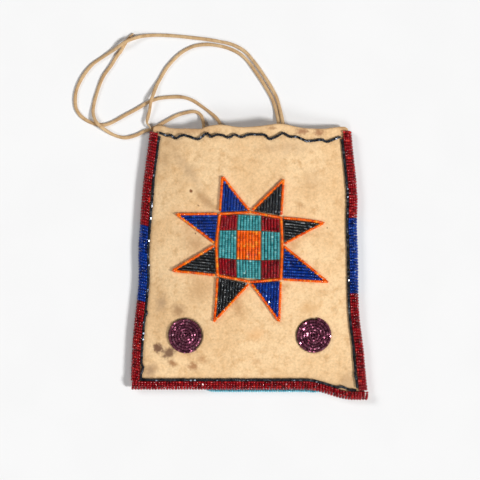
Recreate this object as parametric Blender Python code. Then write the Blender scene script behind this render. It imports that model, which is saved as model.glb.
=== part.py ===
# Beaded flat bag, lying on its back with its thong laid out above the mouth
# Metres, +Z up, +Y towards the mouth. The origin is on the floor below the middle of the bag.

import math

import bmesh
import bpy
from mathutils import Vector

# Clearance between pieces that touch
GAP = 0.0003

# Outline of the bag over its beaded edging
BAG_LENGTH = 0.1824
TOP_WIDTH = 0.1332
TOP_SHIFT = 0.0010
BOTTOM_WIDTH = 0.1582
# How far each side swells out of a straight line, as (share of the length from the mouth, distance)
LEFT_BOW = ((0.0, 0.0), (0.27, 0.0020), (0.43, 0.0018), (0.58, 0.0), (0.78, 0.0010), (1.0, 0.0))
RIGHT_BOW = ((0.0, 0.0), (0.25, 0.0014), (0.40, -0.0004), (0.68, -0.0023), (0.85, -0.0007), (1.0, 0.0))
# The bottom edge drops towards its right corner
BOTTOM_DROOP = 0.0068
DROOP_REACH = 0.042
DROOP_RUN = 0.032
# The hem at the mouth runs in shallow waves
HEM_WAVE = 0.0012
HEM_WAVE_PITCH = 0.0396
HEM_WAVE_CREST = 0.0205

# Hide panels
HIDE_THICKNESS = 0.0012
POCKET_LOFT = 0.0072
POCKET_RISE = 0.062
POCKET_POWER = 2.6
BACK_PANEL_DROP = 0.0072
PANEL_COLUMNS = 24
PANEL_ROWS = 15
PANEL_EDGE_STEP = 0.0045

# Beadwork on the front
BEAD_ROW = 0.0019
BEAD_HEIGHT = 0.0016
ROW_GROOVE = 0.0004
LINE_WIDTH = 0.0017
DRAPE_STEP = 0.0105

# Edging rolled over the sides and the bottom
EDGING_WIDTH = 0.0061
EDGING_WALL = 0.0019
SLOT_CLEARANCE = 0.0005
EDGING_LIP = 0.0017
EDGING_RIDGE = 0.0038
RIDGE_DEPTH = 0.0004
EDGING_TOP_INSET = 0.0045
BLUE_BAND = 0.0500
LEFT_BLUE_MIDDLE = 0.0003
RIGHT_BLUE_MIDDLE = 0.0043

# Beadwork on the back
BACK_BEAD_THICKNESS = 0.0019
BACK_BEAD_TOP_INSET = 0.0210
BACK_BEAD_TUCK = 0.0015
BACK_LIP_REACH = 0.0018
BACK_LIP_MIDDLE = 0.0090
BACK_LIP_LENGTH = 0.0880
BACK_LIP_RUN = 0.012

# Star
STAR_CENTRE = (0.0003, 0.0106)
SQUARE_SIDE = 0.0412
TOP_POINT = 0.0245
BOTTOM_POINT = 0.0288
SIDE_MARGIN = 0.0229
OUTLINE_FOOT = 0.0026
TIP_BEND = 0.0001
TIP_STEPS = 6
CHECK_COLUMNS = (0.0, 0.293, 0.672, 1.0)
CHECK_ROWS = (0.0, 0.288, 0.729, 1.0)
# Corners and mid-sides of the square: direction from the centre, and how far the sewing wandered
SQUARE_RING = {
    "top_left": ((-1, 1), (0.0011, 0.0008)),
    "top": ((0, 1), (0.0007, 0.0019)),
    "top_right": ((1, 1), (0.0001, -0.0017)),
    "right": ((1, 0), (0.0009, 0.0010)),
    "bottom_right": ((1, -1), (-0.0001, -0.0008)),
    "bottom": ((0, -1), (0.0005, -0.0026)),
    "bottom_left": ((-1, -1), (-0.0003, 0.0017)),
    "left": ((-1, 0), (-0.0013, 0.0014)),
}
# Each point of the star: corner it grows from, mid-side it reaches to, side it points to, wander of its tip
STAR_POINTS = {
    "top_left_point": ("top_left", "top", "up", (0.0019, -0.0004), "cobalt"),
    "top_right_point": ("top_right", "top", "up", (0.0015, 0.0003), "black"),
    "right_upper_point": ("top_right", "right", "right", (0.0004, -0.0033), "black"),
    "right_lower_point": ("bottom_right", "right", "right", (0.0015, -0.0018), "cobalt"),
    "bottom_right_point": ("bottom_right", "bottom", "down", (-0.0012, 0.0012), "cobalt"),
    "bottom_left_point": ("bottom_left", "bottom", "down", (-0.0021, -0.0013), "black"),
    "left_lower_point": ("bottom_left", "left", "left", (0.0006, 0.0030), "black"),
    "left_upper_point": ("top_left", "left", "left", (0.0014, -0.0001), "cobalt"),
}
CHECK_COLOURS = (
    ("burgundy", "turquoise", "burgundy"),
    ("turquoise", "orange", "turquoise"),
    ("burgundy", "turquoise", "burgundy"),
)

# Rosettes
ROSETTE_RADIUS = 0.0121
ROSETTE_RINGS = 6
ROSETTE_STEPS = 24
ROSETTE_RISE = 0.0365
LEFT_ROSETTE_INSET = 0.0352
RIGHT_ROSETTE_INSET = 0.0325

# Single lines of dark beads along the four sides
TOP_LINE_LEFT_DROP = 0.0052
TOP_LINE_RIGHT_DROP = 0.0080

# Hide thong, as the route of its middle line
THONG_WIDTH = 0.0022
THONG_POINTS = 86
THONG_ROUTE = (
    (-0.0652, 0.0885, 0.0042), (-0.0656, 0.0897, 0.0041), (-0.0676, 0.0927, 0.0031),
    (-0.0668, 0.0969, 0.0024), (-0.0658, 0.1013, 0.0029), (-0.0649, 0.1069, 0.0037),
    (-0.0631, 0.1122, 0.0028), (-0.0613, 0.1172, 0.0017), (-0.0587, 0.1221, 0.00115),
    (-0.0541, 0.1297, 0.00115), (-0.0459, 0.1383, 0.00115), (-0.0379, 0.1429, 0.00115),
    (-0.0308, 0.1444, 0.00115), (-0.0238, 0.1443, 0.00115), (-0.0156, 0.1427, 0.00115),
    (-0.0078, 0.1395, 0.00115), (-0.0017, 0.1346, 0.00115), (0.0052, 0.1254, 0.00115),
    (0.0116, 0.1155, 0.00115), (0.0160, 0.1072, 0.00115), (0.0183, 0.0993, 0.0014),
    (0.0195, 0.0914, 0.0031), (0.0184, 0.0868, 0.0045), (0.0161, 0.0822, 0.00485),
    (0.0155, 0.0776, 0.00485), (0.0175, 0.0739, 0.00485), (0.0211, 0.0727, 0.00485),
    (0.0247, 0.0739, 0.00485), (0.0267, 0.0776, 0.00485), (0.0262, 0.0822, 0.00485),
    (0.0240, 0.0868, 0.0045), (0.0227, 0.0914, 0.0031), (0.0211, 0.0993, 0.0014),
    (0.0191, 0.1072, 0.00115), (0.0167, 0.1127, 0.00115), (0.0106, 0.1229, 0.00115),
    (0.0036, 0.1328, 0.00115), (-0.0026, 0.1399, 0.00115), (-0.0106, 0.1444, 0.00115),
    (-0.0187, 0.1464, 0.00115), (-0.0277, 0.1479, 0.00115), (-0.0389, 0.1492, 0.00115),
    (-0.0490, 0.1502, 0.00115), (-0.0581, 0.1507, 0.00115), (-0.0655, 0.1506, 0.0013),
    (-0.0716, 0.1498, 0.0021), (-0.0772, 0.1480, 0.0032), (-0.0816, 0.1460, 0.0038),
    (-0.0856, 0.1435, 0.0031), (-0.0894, 0.1409, 0.0020), (-0.0975, 0.1358, 0.00115),
    (-0.1045, 0.1307, 0.00115), (-0.1106, 0.1227, 0.00115), (-0.1146, 0.1136, 0.00115),
    (-0.1152, 0.1046, 0.00115), (-0.1129, 0.0988, 0.00115), (-0.1083, 0.0946, 0.00115),
    (-0.1024, 0.0919, 0.00115), (-0.0967, 0.0911, 0.00115), (-0.0909, 0.0928, 0.00115),
    (-0.0820, 0.0977, 0.00115), (-0.0733, 0.1024, 0.00115), (-0.0684, 0.1055, 0.00115),
    (-0.0631, 0.1078, 0.00115), (-0.0578, 0.1091, 0.00115), (-0.0508, 0.1097, 0.00115),
    (-0.0439, 0.1096, 0.00115), (-0.0375, 0.1076, 0.00115), (-0.0319, 0.1040, 0.00115),
    (-0.0264, 0.1000, 0.00115), (-0.0219, 0.0960, 0.0015), (-0.0192, 0.0918, 0.0029),
    (-0.0182, 0.0872, 0.0044), (-0.0195, 0.0827, 0.00485), (-0.0240, 0.0805, 0.00485),
    (-0.0284, 0.0827, 0.00485), (-0.0297, 0.0872, 0.0044), (-0.0303, 0.0931, 0.0027),
    (-0.0321, 0.0978, 0.0014), (-0.0357, 0.1000, 0.00115), (-0.0409, 0.0995, 0.00115),
    (-0.0480, 0.0974, 0.00115), (-0.0564, 0.0929, 0.00115), (-0.0598, 0.0909, 0.00115),
    (-0.0648, 0.0885, 0.00115), (-0.0699, 0.0868, 0.00115), (-0.0745, 0.0845, 0.00115),
    (-0.0820, 0.0827, 0.00115), (-0.0886, 0.0841, 0.0014), (-0.0941, 0.0870, 0.0026),
    (-0.0985, 0.0902, 0.0037), (-0.1007, 0.0924, 0.0037), (-0.1025, 0.0956, 0.0029),
    (-0.1034, 0.0999, 0.0016), (-0.1030, 0.1040, 0.00115), (-0.1020, 0.1086, 0.00115),
    (-0.0995, 0.1166, 0.00115), (-0.0964, 0.1238, 0.00115), (-0.0914, 0.1307, 0.00115),
    (-0.0874, 0.1373, 0.00115), (-0.0855, 0.1395, 0.00115), (-0.0835, 0.1430, 0.00115),
    (-0.0796, 0.1492, 0.00115), (-0.0766, 0.1519, 0.00115),
)

# Colours as linear red, green and blue, with roughness and metallic value
FINISHES = {
    "hide": ((0.78, 0.50, 0.26), 0.92, 0.0),
    "thong_hide": ((0.62, 0.38, 0.20), 0.88, 0.0),
    "red": ((0.36, 0.022, 0.028), 0.22, 0.0),
    "burgundy": ((0.27, 0.010, 0.018), 0.22, 0.0),
    "cobalt": ((0.006, 0.045, 0.22), 0.22, 0.0),
    "turquoise": ((0.07, 0.29, 0.31), 0.24, 0.0),
    "orange": ((0.86, 0.12, 0.008), 0.22, 0.0),
    "black": ((0.012, 0.012, 0.015), 0.18, 0.0),
    "gunmetal": ((0.05, 0.05, 0.06), 0.22, 0.8),
    "mauve": ((0.17, 0.06, 0.09), 0.25, 0.7),
    "light_blue": ((0.19, 0.51, 0.65), 0.24, 0.0),
}

# Levels, worked out from the thicknesses
BACK_PANEL_Z = BACK_BEAD_THICKNESS + GAP
FRONT_PANEL_Z = BACK_PANEL_Z + HIDE_THICKNESS + GAP
SEAM_TOP_Z = FRONT_PANEL_Z + HIDE_THICKNESS
SLOT_LOW_Z = BACK_PANEL_Z - GAP
SLOT_HIGH_Z = SEAM_TOP_Z + GAP

# Distances in from the outline
HIDE_INSET = EDGING_WALL + SLOT_CLEARANCE
FLAT_BAND = EDGING_WIDTH + GAP
LINE_INSET = FLAT_BAND + LINE_WIDTH / 2


def clear_scene():
    for thing in list(bpy.data.objects):
        bpy.data.objects.remove(thing, do_unlink=True)


def smooth_step(share):
    share = min(max(share, 0.0), 1.0)
    return share * share * (3.0 - 2.0 * share)


def smooth_run(points, share):
    """Value at a share of the way along (share, value) pairs, eased from one to the next."""
    for (start, low), (end, high) in zip(points, points[1:]):
        if share <= end:
            return low + (high - low) * smooth_step((share - start) / (end - start))
    return points[-1][1]


def mix(a, b, share):
    return a + (b - a) * share


# Outline of the bag

def side_x(side, y):
    """The outline at height y: side is -1 on the left and 1 on the right."""
    share = 0.5 - y / BAG_LENGTH
    half = mix(TOP_WIDTH, BOTTOM_WIDTH, share) / 2
    bow = smooth_run(LEFT_BOW if side < 0 else RIGHT_BOW, share)
    return TOP_SHIFT * (1.0 - share) + side * (half + bow)


def bottom_y(x):
    share = (x - BOTTOM_WIDTH / 2 + DROOP_REACH) / DROOP_RUN
    return -BAG_LENGTH / 2 + BOTTOM_DROOP * (1.0 - smooth_step(share))


def hem_y(x):
    turn = 2 * math.pi * (x - HEM_WAVE_CREST) / HEM_WAVE_PITCH
    return BAG_LENGTH / 2 - HEM_WAVE * (1.0 - math.cos(turn))


def top_line_y(x):
    share = x / TOP_WIDTH + 0.5
    return hem_y(x) - mix(TOP_LINE_LEFT_DROP, TOP_LINE_RIGHT_DROP, share)


# Surface of the front panel

def pocket_loft(x, y):
    """Height of the front panel over its seams: flat under the edging, crowned between."""
    left = side_x(-1, y) + FLAT_BAND
    right = side_x(1, y) - FLAT_BAND
    across = min(abs(2 * x - left - right) / (right - left), 1.0)
    up = min(max((y - bottom_y(x) - FLAT_BAND) / POCKET_RISE, 0.0), 1.0)
    return POCKET_LOFT * (1.0 - across ** POCKET_POWER) * (1.0 - (1.0 - up) ** 2.2)


def front_z(x, y):
    return SEAM_TOP_Z + pocket_loft(x, y)


# Helpers that make the objects

def finish_material(name):
    material = bpy.data.materials.get(name)
    if material is None:
        colour, roughness, metallic = FINISHES[name]
        material = bpy.data.materials.new(name)
        material.use_nodes = True
        shader = material.node_tree.nodes["Principled BSDF"]
        shader.inputs["Base Color"].default_value = (*colour, 1.0)
        shader.inputs["Roughness"].default_value = roughness
        shader.inputs["Metallic"].default_value = metallic
        material.diffuse_color = (*colour, 1.0)
    return material


def add_object(name, data, finish):
    thing = bpy.data.objects.new(name, data)
    thing.data.materials.append(finish_material(finish))
    bag_collection.objects.link(thing)
    return thing


def add_mesh(name, bm, finish, smooth_angle=50.0):
    bmesh.ops.recalc_face_normals(bm, faces=bm.faces)
    mesh = bpy.data.meshes.new(name)
    bm.to_mesh(mesh)
    bm.free()
    mesh.shade_smooth()
    mesh.set_sharp_from_angle(angle=math.radians(smooth_angle))
    return add_object(name, mesh, finish)


def add_tube(name, points, width, finish, closed=False, resolution=1):
    """A round cord or line of beads along the points."""
    curve = bpy.data.curves.new(name, "CURVE")
    curve.dimensions = "3D"
    curve.bevel_depth = width / 2
    curve.bevel_resolution = resolution
    curve.use_fill_caps = not closed
    spline = curve.splines.new("POLY")
    spline.points.add(len(points) - 1)
    for point, place in zip(spline.points, points):
        point.co = (*place, 1.0)
    spline.use_cyclic_u = closed
    spline.use_smooth = True
    return add_object(name, curve, finish)


def add_plate(name, outline, low, thickness, finish):
    """A flat sheet cut to an outline."""
    curve = bpy.data.curves.new(name, "CURVE")
    curve.dimensions = "2D"
    curve.fill_mode = "BOTH"
    curve.extrude = thickness / 2
    spline = curve.splines.new("POLY")
    spline.points.add(len(outline) - 1)
    for point, (x, y) in zip(spline.points, outline):
        point.co = (x, y, 0.0, 1.0)
    spline.use_cyclic_u = True
    plate = add_object(name, curve, finish)
    plate.location.z = low + thickness / 2
    return plate


def thicken(bm, height):
    """Raise a copy of an open sheet by height(vertex) and wall in its sides."""
    lifted = bmesh.ops.extrude_face_region(bm, geom=bm.faces[:])["geom"]
    for vertex in lifted:
        if isinstance(vertex, bmesh.types.BMVert):
            vertex.co.z += height(vertex)


def split_path(points, step):
    """The same straight runs, cut into pieces no longer than step."""
    path = [Vector(points[0])]
    for start, end in zip(points, points[1:]):
        start, end = Vector(start), Vector(end)
        count = max(1, math.ceil((end - start).length / step))
        path += [start.lerp(end, (i + 1) / count) for i in range(count)]
    return path


def drape_line(points):
    """A line of beads lying on the front panel."""
    lift = GAP + LINE_WIDTH / 2
    return [(x, y, front_z(x, y) + lift) for x, y in points]


# Hide panels

def edge_share(index, count, low, high):
    """Place of a grid line from low to high, with the first cell as wide as the flat seam band."""
    if index == 0:
        return low
    return mix(low + FLAT_BAND - HIDE_INSET, high, (index - 1) / (count - 1))


def panel_point(column, row):
    """Where a grid vertex of the front panel lies, seen from above."""
    y = mix(-BAG_LENGTH / 2, BAG_LENGTH / 2, row / PANEL_ROWS)
    for _ in range(4):
        left = side_x(-1, y) + HIDE_INSET
        right = side_x(1, y) - HIDE_INSET
        if column <= PANEL_COLUMNS / 2:
            x = edge_share(column, PANEL_COLUMNS // 2, left, (left + right) / 2)
        else:
            x = left + right - edge_share(PANEL_COLUMNS - column, PANEL_COLUMNS // 2, left, (left + right) / 2)
        y = edge_share(row, PANEL_ROWS, bottom_y(x) + HIDE_INSET, hem_y(x))
    return x, y


def build_front_panel():
    bm = bmesh.new()
    bmesh.ops.create_grid(bm, x_segments=PANEL_COLUMNS, y_segments=PANEL_ROWS, size=0.5)
    for vertex in bm.verts:
        column = round((vertex.co.x + 0.5) * PANEL_COLUMNS)
        row = round((vertex.co.y + 0.5) * PANEL_ROWS)
        x, y = panel_point(column, row)
        vertex.co = (x, y, FRONT_PANEL_Z + pocket_loft(x, y))
    thicken(bm, lambda vertex: HIDE_THICKNESS)
    add_mesh("front_panel", bm, "hide", 30.0)


def spread(start, end):
    """Values from start to end, about one edge step apart."""
    count = math.ceil(abs(end - start) / PANEL_EDGE_STEP)
    return [mix(start, end, i / count) for i in range(count + 1)]


def panel_outline(inset, bottom_inset, top):
    """Outline set in from the sides and the bottom, and cut straight at the top."""
    bottom = [bottom_y(side_x(side, -BAG_LENGTH / 2)) + bottom_inset for side in (-1, 1)]
    start = side_x(-1, bottom[0]) + inset
    end = side_x(1, bottom[1]) - inset
    outline = [(side_x(-1, y) + inset, y) for y in spread(top, bottom[0])[:-1]]
    outline += [(x, bottom_y(x) + bottom_inset) for x in spread(start, end)]
    outline += [(side_x(1, y) - inset, y) for y in spread(bottom[1], top)[1:]]
    return outline


def build_back_panel():
    top = BAG_LENGTH / 2 - BACK_PANEL_DROP
    outline = panel_outline(HIDE_INSET, HIDE_INSET, top)
    add_plate("back_panel", outline, BACK_PANEL_Z, HIDE_THICKNESS, "hide")


def back_lip(x):
    """How far the back beadwork passes the bottom edging, along part of it."""
    inside = BACK_LIP_LENGTH / 2 - abs(x - BACK_LIP_MIDDLE)
    return (BACK_LIP_REACH + BACK_BEAD_TUCK) * smooth_step(inside / BACK_LIP_RUN)


def build_back_beadwork():
    top = BAG_LENGTH / 2 - BACK_BEAD_TOP_INSET
    outline = panel_outline(FLAT_BAND, BACK_BEAD_TUCK, top)
    outline = [(x, y - back_lip(x) if y < bottom_y(x) + FLAT_BAND else y) for x, y in outline]
    add_plate("back_beadwork", outline, 0.0, BACK_BEAD_THICKNESS, "light_blue")


# Edging

def side_frame(side):
    """Point on a side's outline at height y, and the way out of the bag there."""
    return lambda y: (Vector((side_x(side, y), y)), Vector((side, 0.0)))


def bottom_frame(x):
    return Vector((x, bottom_y(x))), Vector((0.0, -1.0))


def edging_section(ridge, wraps_under):
    """Section of the roll as (distance in from the outline, height), round the slot for the hides."""
    middle = (SLOT_LOW_Z + SLOT_HIGH_Z) / 2
    reach = SLOT_HIGH_Z + EDGING_LIP - middle
    sunk = RIDGE_DEPTH * (1.0 - ridge)
    face = [
        (EDGING_WIDTH, 0.86 * reach - sunk),
        (0.52 * EDGING_WIDTH, reach - sunk),
        (0.08 * EDGING_WIDTH + sunk, 0.60 * reach),
    ]
    section = [(EDGING_WIDTH, SLOT_HIGH_Z)]
    section += [(inset, middle + height) for inset, height in face]
    if wraps_under:
        section += [(inset, middle - height) for inset, height in reversed(face)]
        section += [(EDGING_WIDTH, SLOT_LOW_Z), (EDGING_WALL, SLOT_LOW_Z)]
    else:
        section += [(sunk, BACK_PANEL_Z), (EDGING_WALL, BACK_PANEL_Z)]
    section += [(EDGING_WALL, SLOT_HIGH_Z)]
    return section


def build_edging(name, frame, start, end, finish, wraps_under=True):
    """A roll of bead rows from start to end along an edge, ridged across."""
    ridges = max(1, round(abs(end - start) / EDGING_RIDGE))
    bm = bmesh.new()
    rings = []
    for i in range(2 * ridges + 1):
        point, outward = frame(mix(start, end, i / (2 * ridges)))
        section = edging_section(i % 2, wraps_under)
        places = [(*(point - outward * inset), z) for inset, z in section]
        rings.append([bm.verts.new(place) for place in places])
    for near, far in zip(rings, rings[1:]):
        for i in range(len(near)):
            bm.faces.new((near[i - 1], near[i], far[i], far[i - 1]))
    bm.faces.new(rings[0])
    bm.faces.new(rings[-1])
    add_mesh(name, bm, finish, 60.0)


def build_side_edging(side, word, blue_middle):
    top = BAG_LENGTH / 2 - EDGING_TOP_INSET
    blue_top = blue_middle + BLUE_BAND / 2
    blue_bottom = blue_middle - BLUE_BAND / 2
    end = bottom_y(side_x(side, -BAG_LENGTH / 2)) + FLAT_BAND
    frame = side_frame(side)
    build_edging(f"{word}_edging_upper", frame, top, blue_top + GAP / 2, "red")
    build_edging(f"{word}_edging_middle", frame, blue_top - GAP / 2, blue_bottom + GAP / 2, "cobalt")
    build_edging(f"{word}_edging_lower", frame, blue_bottom - GAP / 2, end, "red")


def build_bottom_edging():
    ends = [side_x(side, -BAG_LENGTH / 2) - side * EDGING_WALL for side in (-1, 1)]
    build_edging("bottom_edging", bottom_frame, ends[0], ends[1], "red", wraps_under=False)


# Bead fields

def field_height(position, width):
    """Ridged height across the rows of a field."""
    rows = max(1, round(width / BEAD_ROW))
    wave = abs(math.cos(math.pi * rows * position / width))
    return BEAD_HEIGHT - ROW_GROOVE * wave


def build_field(name, outline, rows_upright, finish):
    """A field of bead rows inside a convex outline, draped over the front panel."""
    low = [min(point[axis] for point in outline) for axis in (0, 1)]
    high = [max(point[axis] for point in outline) for axis in (0, 1)]
    size = [high[axis] - low[axis] for axis in (0, 1)]
    across = 0 if rows_upright else 1
    cells = [math.ceil(size[axis] / DRAPE_STEP) for axis in (0, 1)]
    cells[across] = 2 * max(1, round(size[across] / BEAD_ROW))
    bm = bmesh.new()
    bmesh.ops.create_grid(bm, x_segments=cells[0], y_segments=cells[1], size=0.5)
    for vertex in bm.verts:
        shares = (vertex.co.x + 0.5, vertex.co.y + 0.5)
        height = field_height(shares[across] * size[across], size[across])
        vertex.co = (low[0] + shares[0] * size[0], low[1] + shares[1] * size[1], height)
    for start, end in zip(outline, outline[1:] + outline[:1]):
        inward = Vector((start[1] - end[1], end[0] - start[0], 0.0))
        geometry = bm.verts[:] + bm.edges[:] + bm.faces[:]
        bmesh.ops.bisect_plane(
            bm, geom=geometry, plane_co=(*start, 0.0), plane_no=inward, dist=1e-6, clear_inner=True,
        )
    bmesh.ops.remove_doubles(bm, verts=bm.verts, dist=0.00003)
    heights = {}
    for vertex in bm.verts:
        heights[(round(vertex.co.x, 7), round(vertex.co.y, 7))] = vertex.co.z
        vertex.co.z = front_z(vertex.co.x, vertex.co.y) + GAP
    thicken(bm, lambda vertex: heights[(round(vertex.co.x, 7), round(vertex.co.y, 7))])
    add_mesh(name, bm, finish, 60.0)


def line_crossing(a, b, c, d):
    """Where the line through a and b meets the line through c and d."""
    along = b - a
    other = d - c
    share = (c - a).cross(other) / along.cross(other)
    return a + along * share


def inset_outline(outline, insets):
    """A convex outline, anticlockwise, with each edge moved in by its own distance."""
    points = [Vector(point) for point in outline]
    moved = []
    for start, end, inset in zip(points, points[1:] + points[:1], insets):
        run = (end - start).normalized()
        inward = Vector((-run.y, run.x)) * inset
        moved.append((start + inward, end + inward))
    corners = []
    for previous, current in zip(moved[-1:] + moved[:-1], moved):
        corners.append(tuple(line_crossing(*previous, *current)))
    return corners


# Star

def square_point(name):
    direction, wander = SQUARE_RING[name]
    return Vector([
        STAR_CENTRE[axis] + direction[axis] * SQUARE_SIDE / 2 + wander[axis] for axis in (0, 1)
    ])


def star_tip(corner, points_to, wander):
    tip = square_point(corner) + Vector(wander)
    if points_to == "up":
        tip.y += TOP_POINT
    elif points_to == "down":
        tip.y -= BOTTOM_POINT
    else:
        side = 1 if points_to == "right" else -1
        tip.x = side_x(side, tip.y) - side * SIDE_MARGIN + wander[0]
    return tip


def anticlockwise(points):
    a, b, c = points[:3]
    return points if (b - a).cross(c - a) > 0 else points[::-1]


def round_tip(feet, tip):
    """Where the two edges would meet past a tip rounded by the bend of its outline, and the bend's points."""
    radius = LINE_WIDTH / 2 + TIP_BEND
    out = ((tip - feet[0]).normalized() + (tip - feet[1]).normalized()).normalized()
    half = (feet[0] - tip).angle(feet[1] - tip) / 2
    apex = tip + out * radius * (1 / math.sin(half) - 1)
    out = ((apex - feet[0]).normalized() + (apex - feet[1]).normalized()).normalized()
    half = (feet[0] - apex).angle(feet[1] - apex) / 2
    centre = apex - out * radius / math.sin(half)
    turn = 1 if out.cross(feet[0] - apex) < 0 else -1
    sweep = math.pi / 2 - half
    bend = []
    for i in range(TIP_STEPS + 1):
        angle = math.atan2(out.y, out.x) - turn * sweep * (1 - 2 * i / TIP_STEPS)
        bend.append(centre + radius * Vector((math.cos(angle), math.sin(angle))))
    return apex, bend


def build_star_points():
    beside_line = LINE_WIDTH / 2 + GAP
    for name, (corner, middle, points_to, wander, finish) in STAR_POINTS.items():
        feet = [square_point(corner), square_point(middle)]
        apex, bend = round_tip(feet, star_tip(corner, points_to, wander))
        outline = anticlockwise([feet[0], apex, feet[1]])
        outline = inset_outline(outline, [beside_line] * 3)
        build_field(name, outline, points_to in ("up", "down"), finish)

        ends = [foot + (apex - foot).normalized() * OUTLINE_FOOT for foot in feet]
        path = split_path([ends[0], *bend, ends[1]], DRAPE_STEP)
        add_tube(name.replace("point", "outline"), drape_line(path), LINE_WIDTH, "orange")


def side_place(names, share):
    """Point on one side of the square, which bends at its middle."""
    start, middle, end = [square_point(name) for name in names]
    if share < 0.5:
        return start.lerp(middle, share * 2)
    return middle.lerp(end, share * 2 - 1)


def lattice_point(column, row):
    """Corner of the checks, blended from the four sides of the square."""
    low = side_place(("bottom_left", "bottom", "bottom_right"), column)
    high = side_place(("top_left", "top", "top_right"), column)
    left = side_place(("bottom_left", "left", "top_left"), row)
    right = side_place(("bottom_right", "right", "top_right"), row)
    base = square_point("bottom_left").lerp(square_point("bottom_right"), column)
    cap = square_point("top_left").lerp(square_point("top_right"), column)
    return low.lerp(high, row) + left.lerp(right, column) - base.lerp(cap, row)


def build_checks():
    row_words = ("bottom", "middle", "top")
    column_words = ("left", "centre", "right")
    beside_line = LINE_WIDTH / 2 + GAP
    for row in range(3):
        for column in range(3):
            corners = [
                lattice_point(CHECK_COLUMNS[column + i], CHECK_ROWS[row + j])
                for i, j in ((0, 0), (1, 0), (1, 1), (0, 1))
            ]
            insets = [
                beside_line if row == 0 else GAP / 2,
                beside_line if column == 2 else GAP / 2,
                beside_line if row == 2 else GAP / 2,
                beside_line if column == 0 else GAP / 2,
            ]
            name = f"check_{row_words[row]}_{column_words[column]}"
            build_field(name, inset_outline(corners, insets), True, CHECK_COLOURS[row][column])


def build_square_outline():
    ring = [square_point(name) for name in SQUARE_RING]
    path = split_path(ring + ring[:1], DRAPE_STEP)[:-1]
    add_tube("square_outline", drape_line(path), LINE_WIDTH, "orange", closed=True)


# Rosettes

def build_rosette(name, side, inset):
    """Rings of beads turned round a middle, then draped over the front panel."""
    ring = ROSETTE_RADIUS / ROSETTE_RINGS
    profile = [(0.0, BEAD_HEIGHT)]
    for i in range(ROSETTE_RINGS):
        profile += [((i + 0.5) * ring, BEAD_HEIGHT), ((i + 1) * ring, BEAD_HEIGHT - ROW_GROOVE)]
    profile += [(ROSETTE_RADIUS, 0.0), (ROSETTE_RADIUS / 2, 0.0), (0.0, 0.0)]
    bm = bmesh.new()
    vertices = [bm.verts.new((radius, 0.0, z)) for radius, z in profile]
    edges = [bm.edges.new(pair) for pair in zip(vertices, vertices[1:])]
    bmesh.ops.spin(
        bm, geom=vertices + edges, cent=(0, 0, 0), axis=(0, 0, 1), angle=2 * math.pi,
        steps=ROSETTE_STEPS, use_merge=True,
    )
    bmesh.ops.remove_doubles(bm, verts=bm.verts, dist=0.00001)
    y = -BAG_LENGTH / 2 + BOTTOM_DROOP + ROSETTE_RISE
    x = side_x(side, y) - side * inset
    for vertex in bm.verts:
        vertex.co.x += x
        vertex.co.y += y
        vertex.co.z += front_z(vertex.co.x, vertex.co.y) + GAP
    add_mesh(name, bm, "mauve", 60.0)


# Dark lines of beads

def build_border_lines():
    for side, word in ((-1, "left"), (1, "right")):
        corner = side_x(side, BAG_LENGTH / 2) - side * LINE_INSET
        top = top_line_y(corner)
        bottom = bottom_y(side_x(side, -BAG_LENGTH / 2)) + LINE_INSET
        count = math.ceil((top - bottom) / DRAPE_STEP)
        heights = [mix(top, bottom, i / count) for i in range(count + 1)]
        path = [(side_x(side, y) - side * LINE_INSET, y) for y in heights]
        add_tube(f"{word}_border_line", drape_line(path), LINE_WIDTH, "gunmetal")
    beside_line = LINE_WIDTH + GAP
    for word, height_at, level in (
        ("top", top_line_y, BAG_LENGTH / 2 - TOP_LINE_RIGHT_DROP),
        ("bottom", lambda x: bottom_y(x) + LINE_INSET, -BAG_LENGTH / 2 + FLAT_BAND),
    ):
        start = side_x(-1, level) + LINE_INSET + beside_line
        end = side_x(1, level) - LINE_INSET - beside_line
        count = math.ceil(2 * (end - start) / DRAPE_STEP)
        places = [mix(start, end, i / count) for i in range(count + 1)]
        path = [(x, height_at(x)) for x in places]
        add_tube(f"{word}_border_line", drape_line(path), LINE_WIDTH, "gunmetal")


# Thong

def smooth_path(points, steps):
    """Dense Catmull-Rom curve through the points."""
    points = [Vector(point) for point in points]
    points = [points[0] * 2 - points[1]] + points + [points[-1] * 2 - points[-2]]
    path = []
    for a, b, c, d in zip(points, points[1:], points[2:], points[3:]):
        for i in range(steps):
            t = i / steps
            path.append(0.5 * (
                2 * b + (c - a) * t + (2 * a - 5 * b + 4 * c - d) * t ** 2 + (3 * b - a - 3 * c + d) * t ** 3
            ))
    path.append(points[-2])
    return path


def thin_path(path, count, bend_weight=0.009):
    """Points read from a dense curve, closer together where it bends."""
    reach = [0.0]
    for a, b, c in zip(path, path[1:], path[2:] + path[-1:]):
        turn = (b - a).angle(c - b) if (c - b).length > 0 else 0.0
        reach.append(reach[-1] + (b - a).length + bend_weight * turn)
    picked = []
    j = 0
    for i in range(count):
        goal = reach[-1] * i / (count - 1)
        while j < len(path) - 2 and reach[j + 1] < goal:
            j += 1
        share = (goal - reach[j]) / (reach[j + 1] - reach[j])
        picked.append(path[j].lerp(path[j + 1], min(share, 1.0)))
    return picked


def build_thong():
    path = thin_path(smooth_path(THONG_ROUTE, 12), THONG_POINTS)
    add_tube("thong", path, THONG_WIDTH, "thong_hide", resolution=2)


clear_scene()
bag_collection = bpy.data.collections.new("beaded_flat_bag")
bpy.context.scene.collection.children.link(bag_collection)

build_front_panel()
build_back_panel()
build_back_beadwork()
build_side_edging(-1, "left", LEFT_BLUE_MIDDLE)
build_side_edging(1, "right", RIGHT_BLUE_MIDDLE)
build_bottom_edging()
build_star_points()
build_checks()
build_square_outline()
build_rosette("left_rosette", -1, LEFT_ROSETTE_INSET)
build_rosette("right_rosette", 1, RIGHT_ROSETTE_INSET)
build_border_lines()
build_thong()
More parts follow.
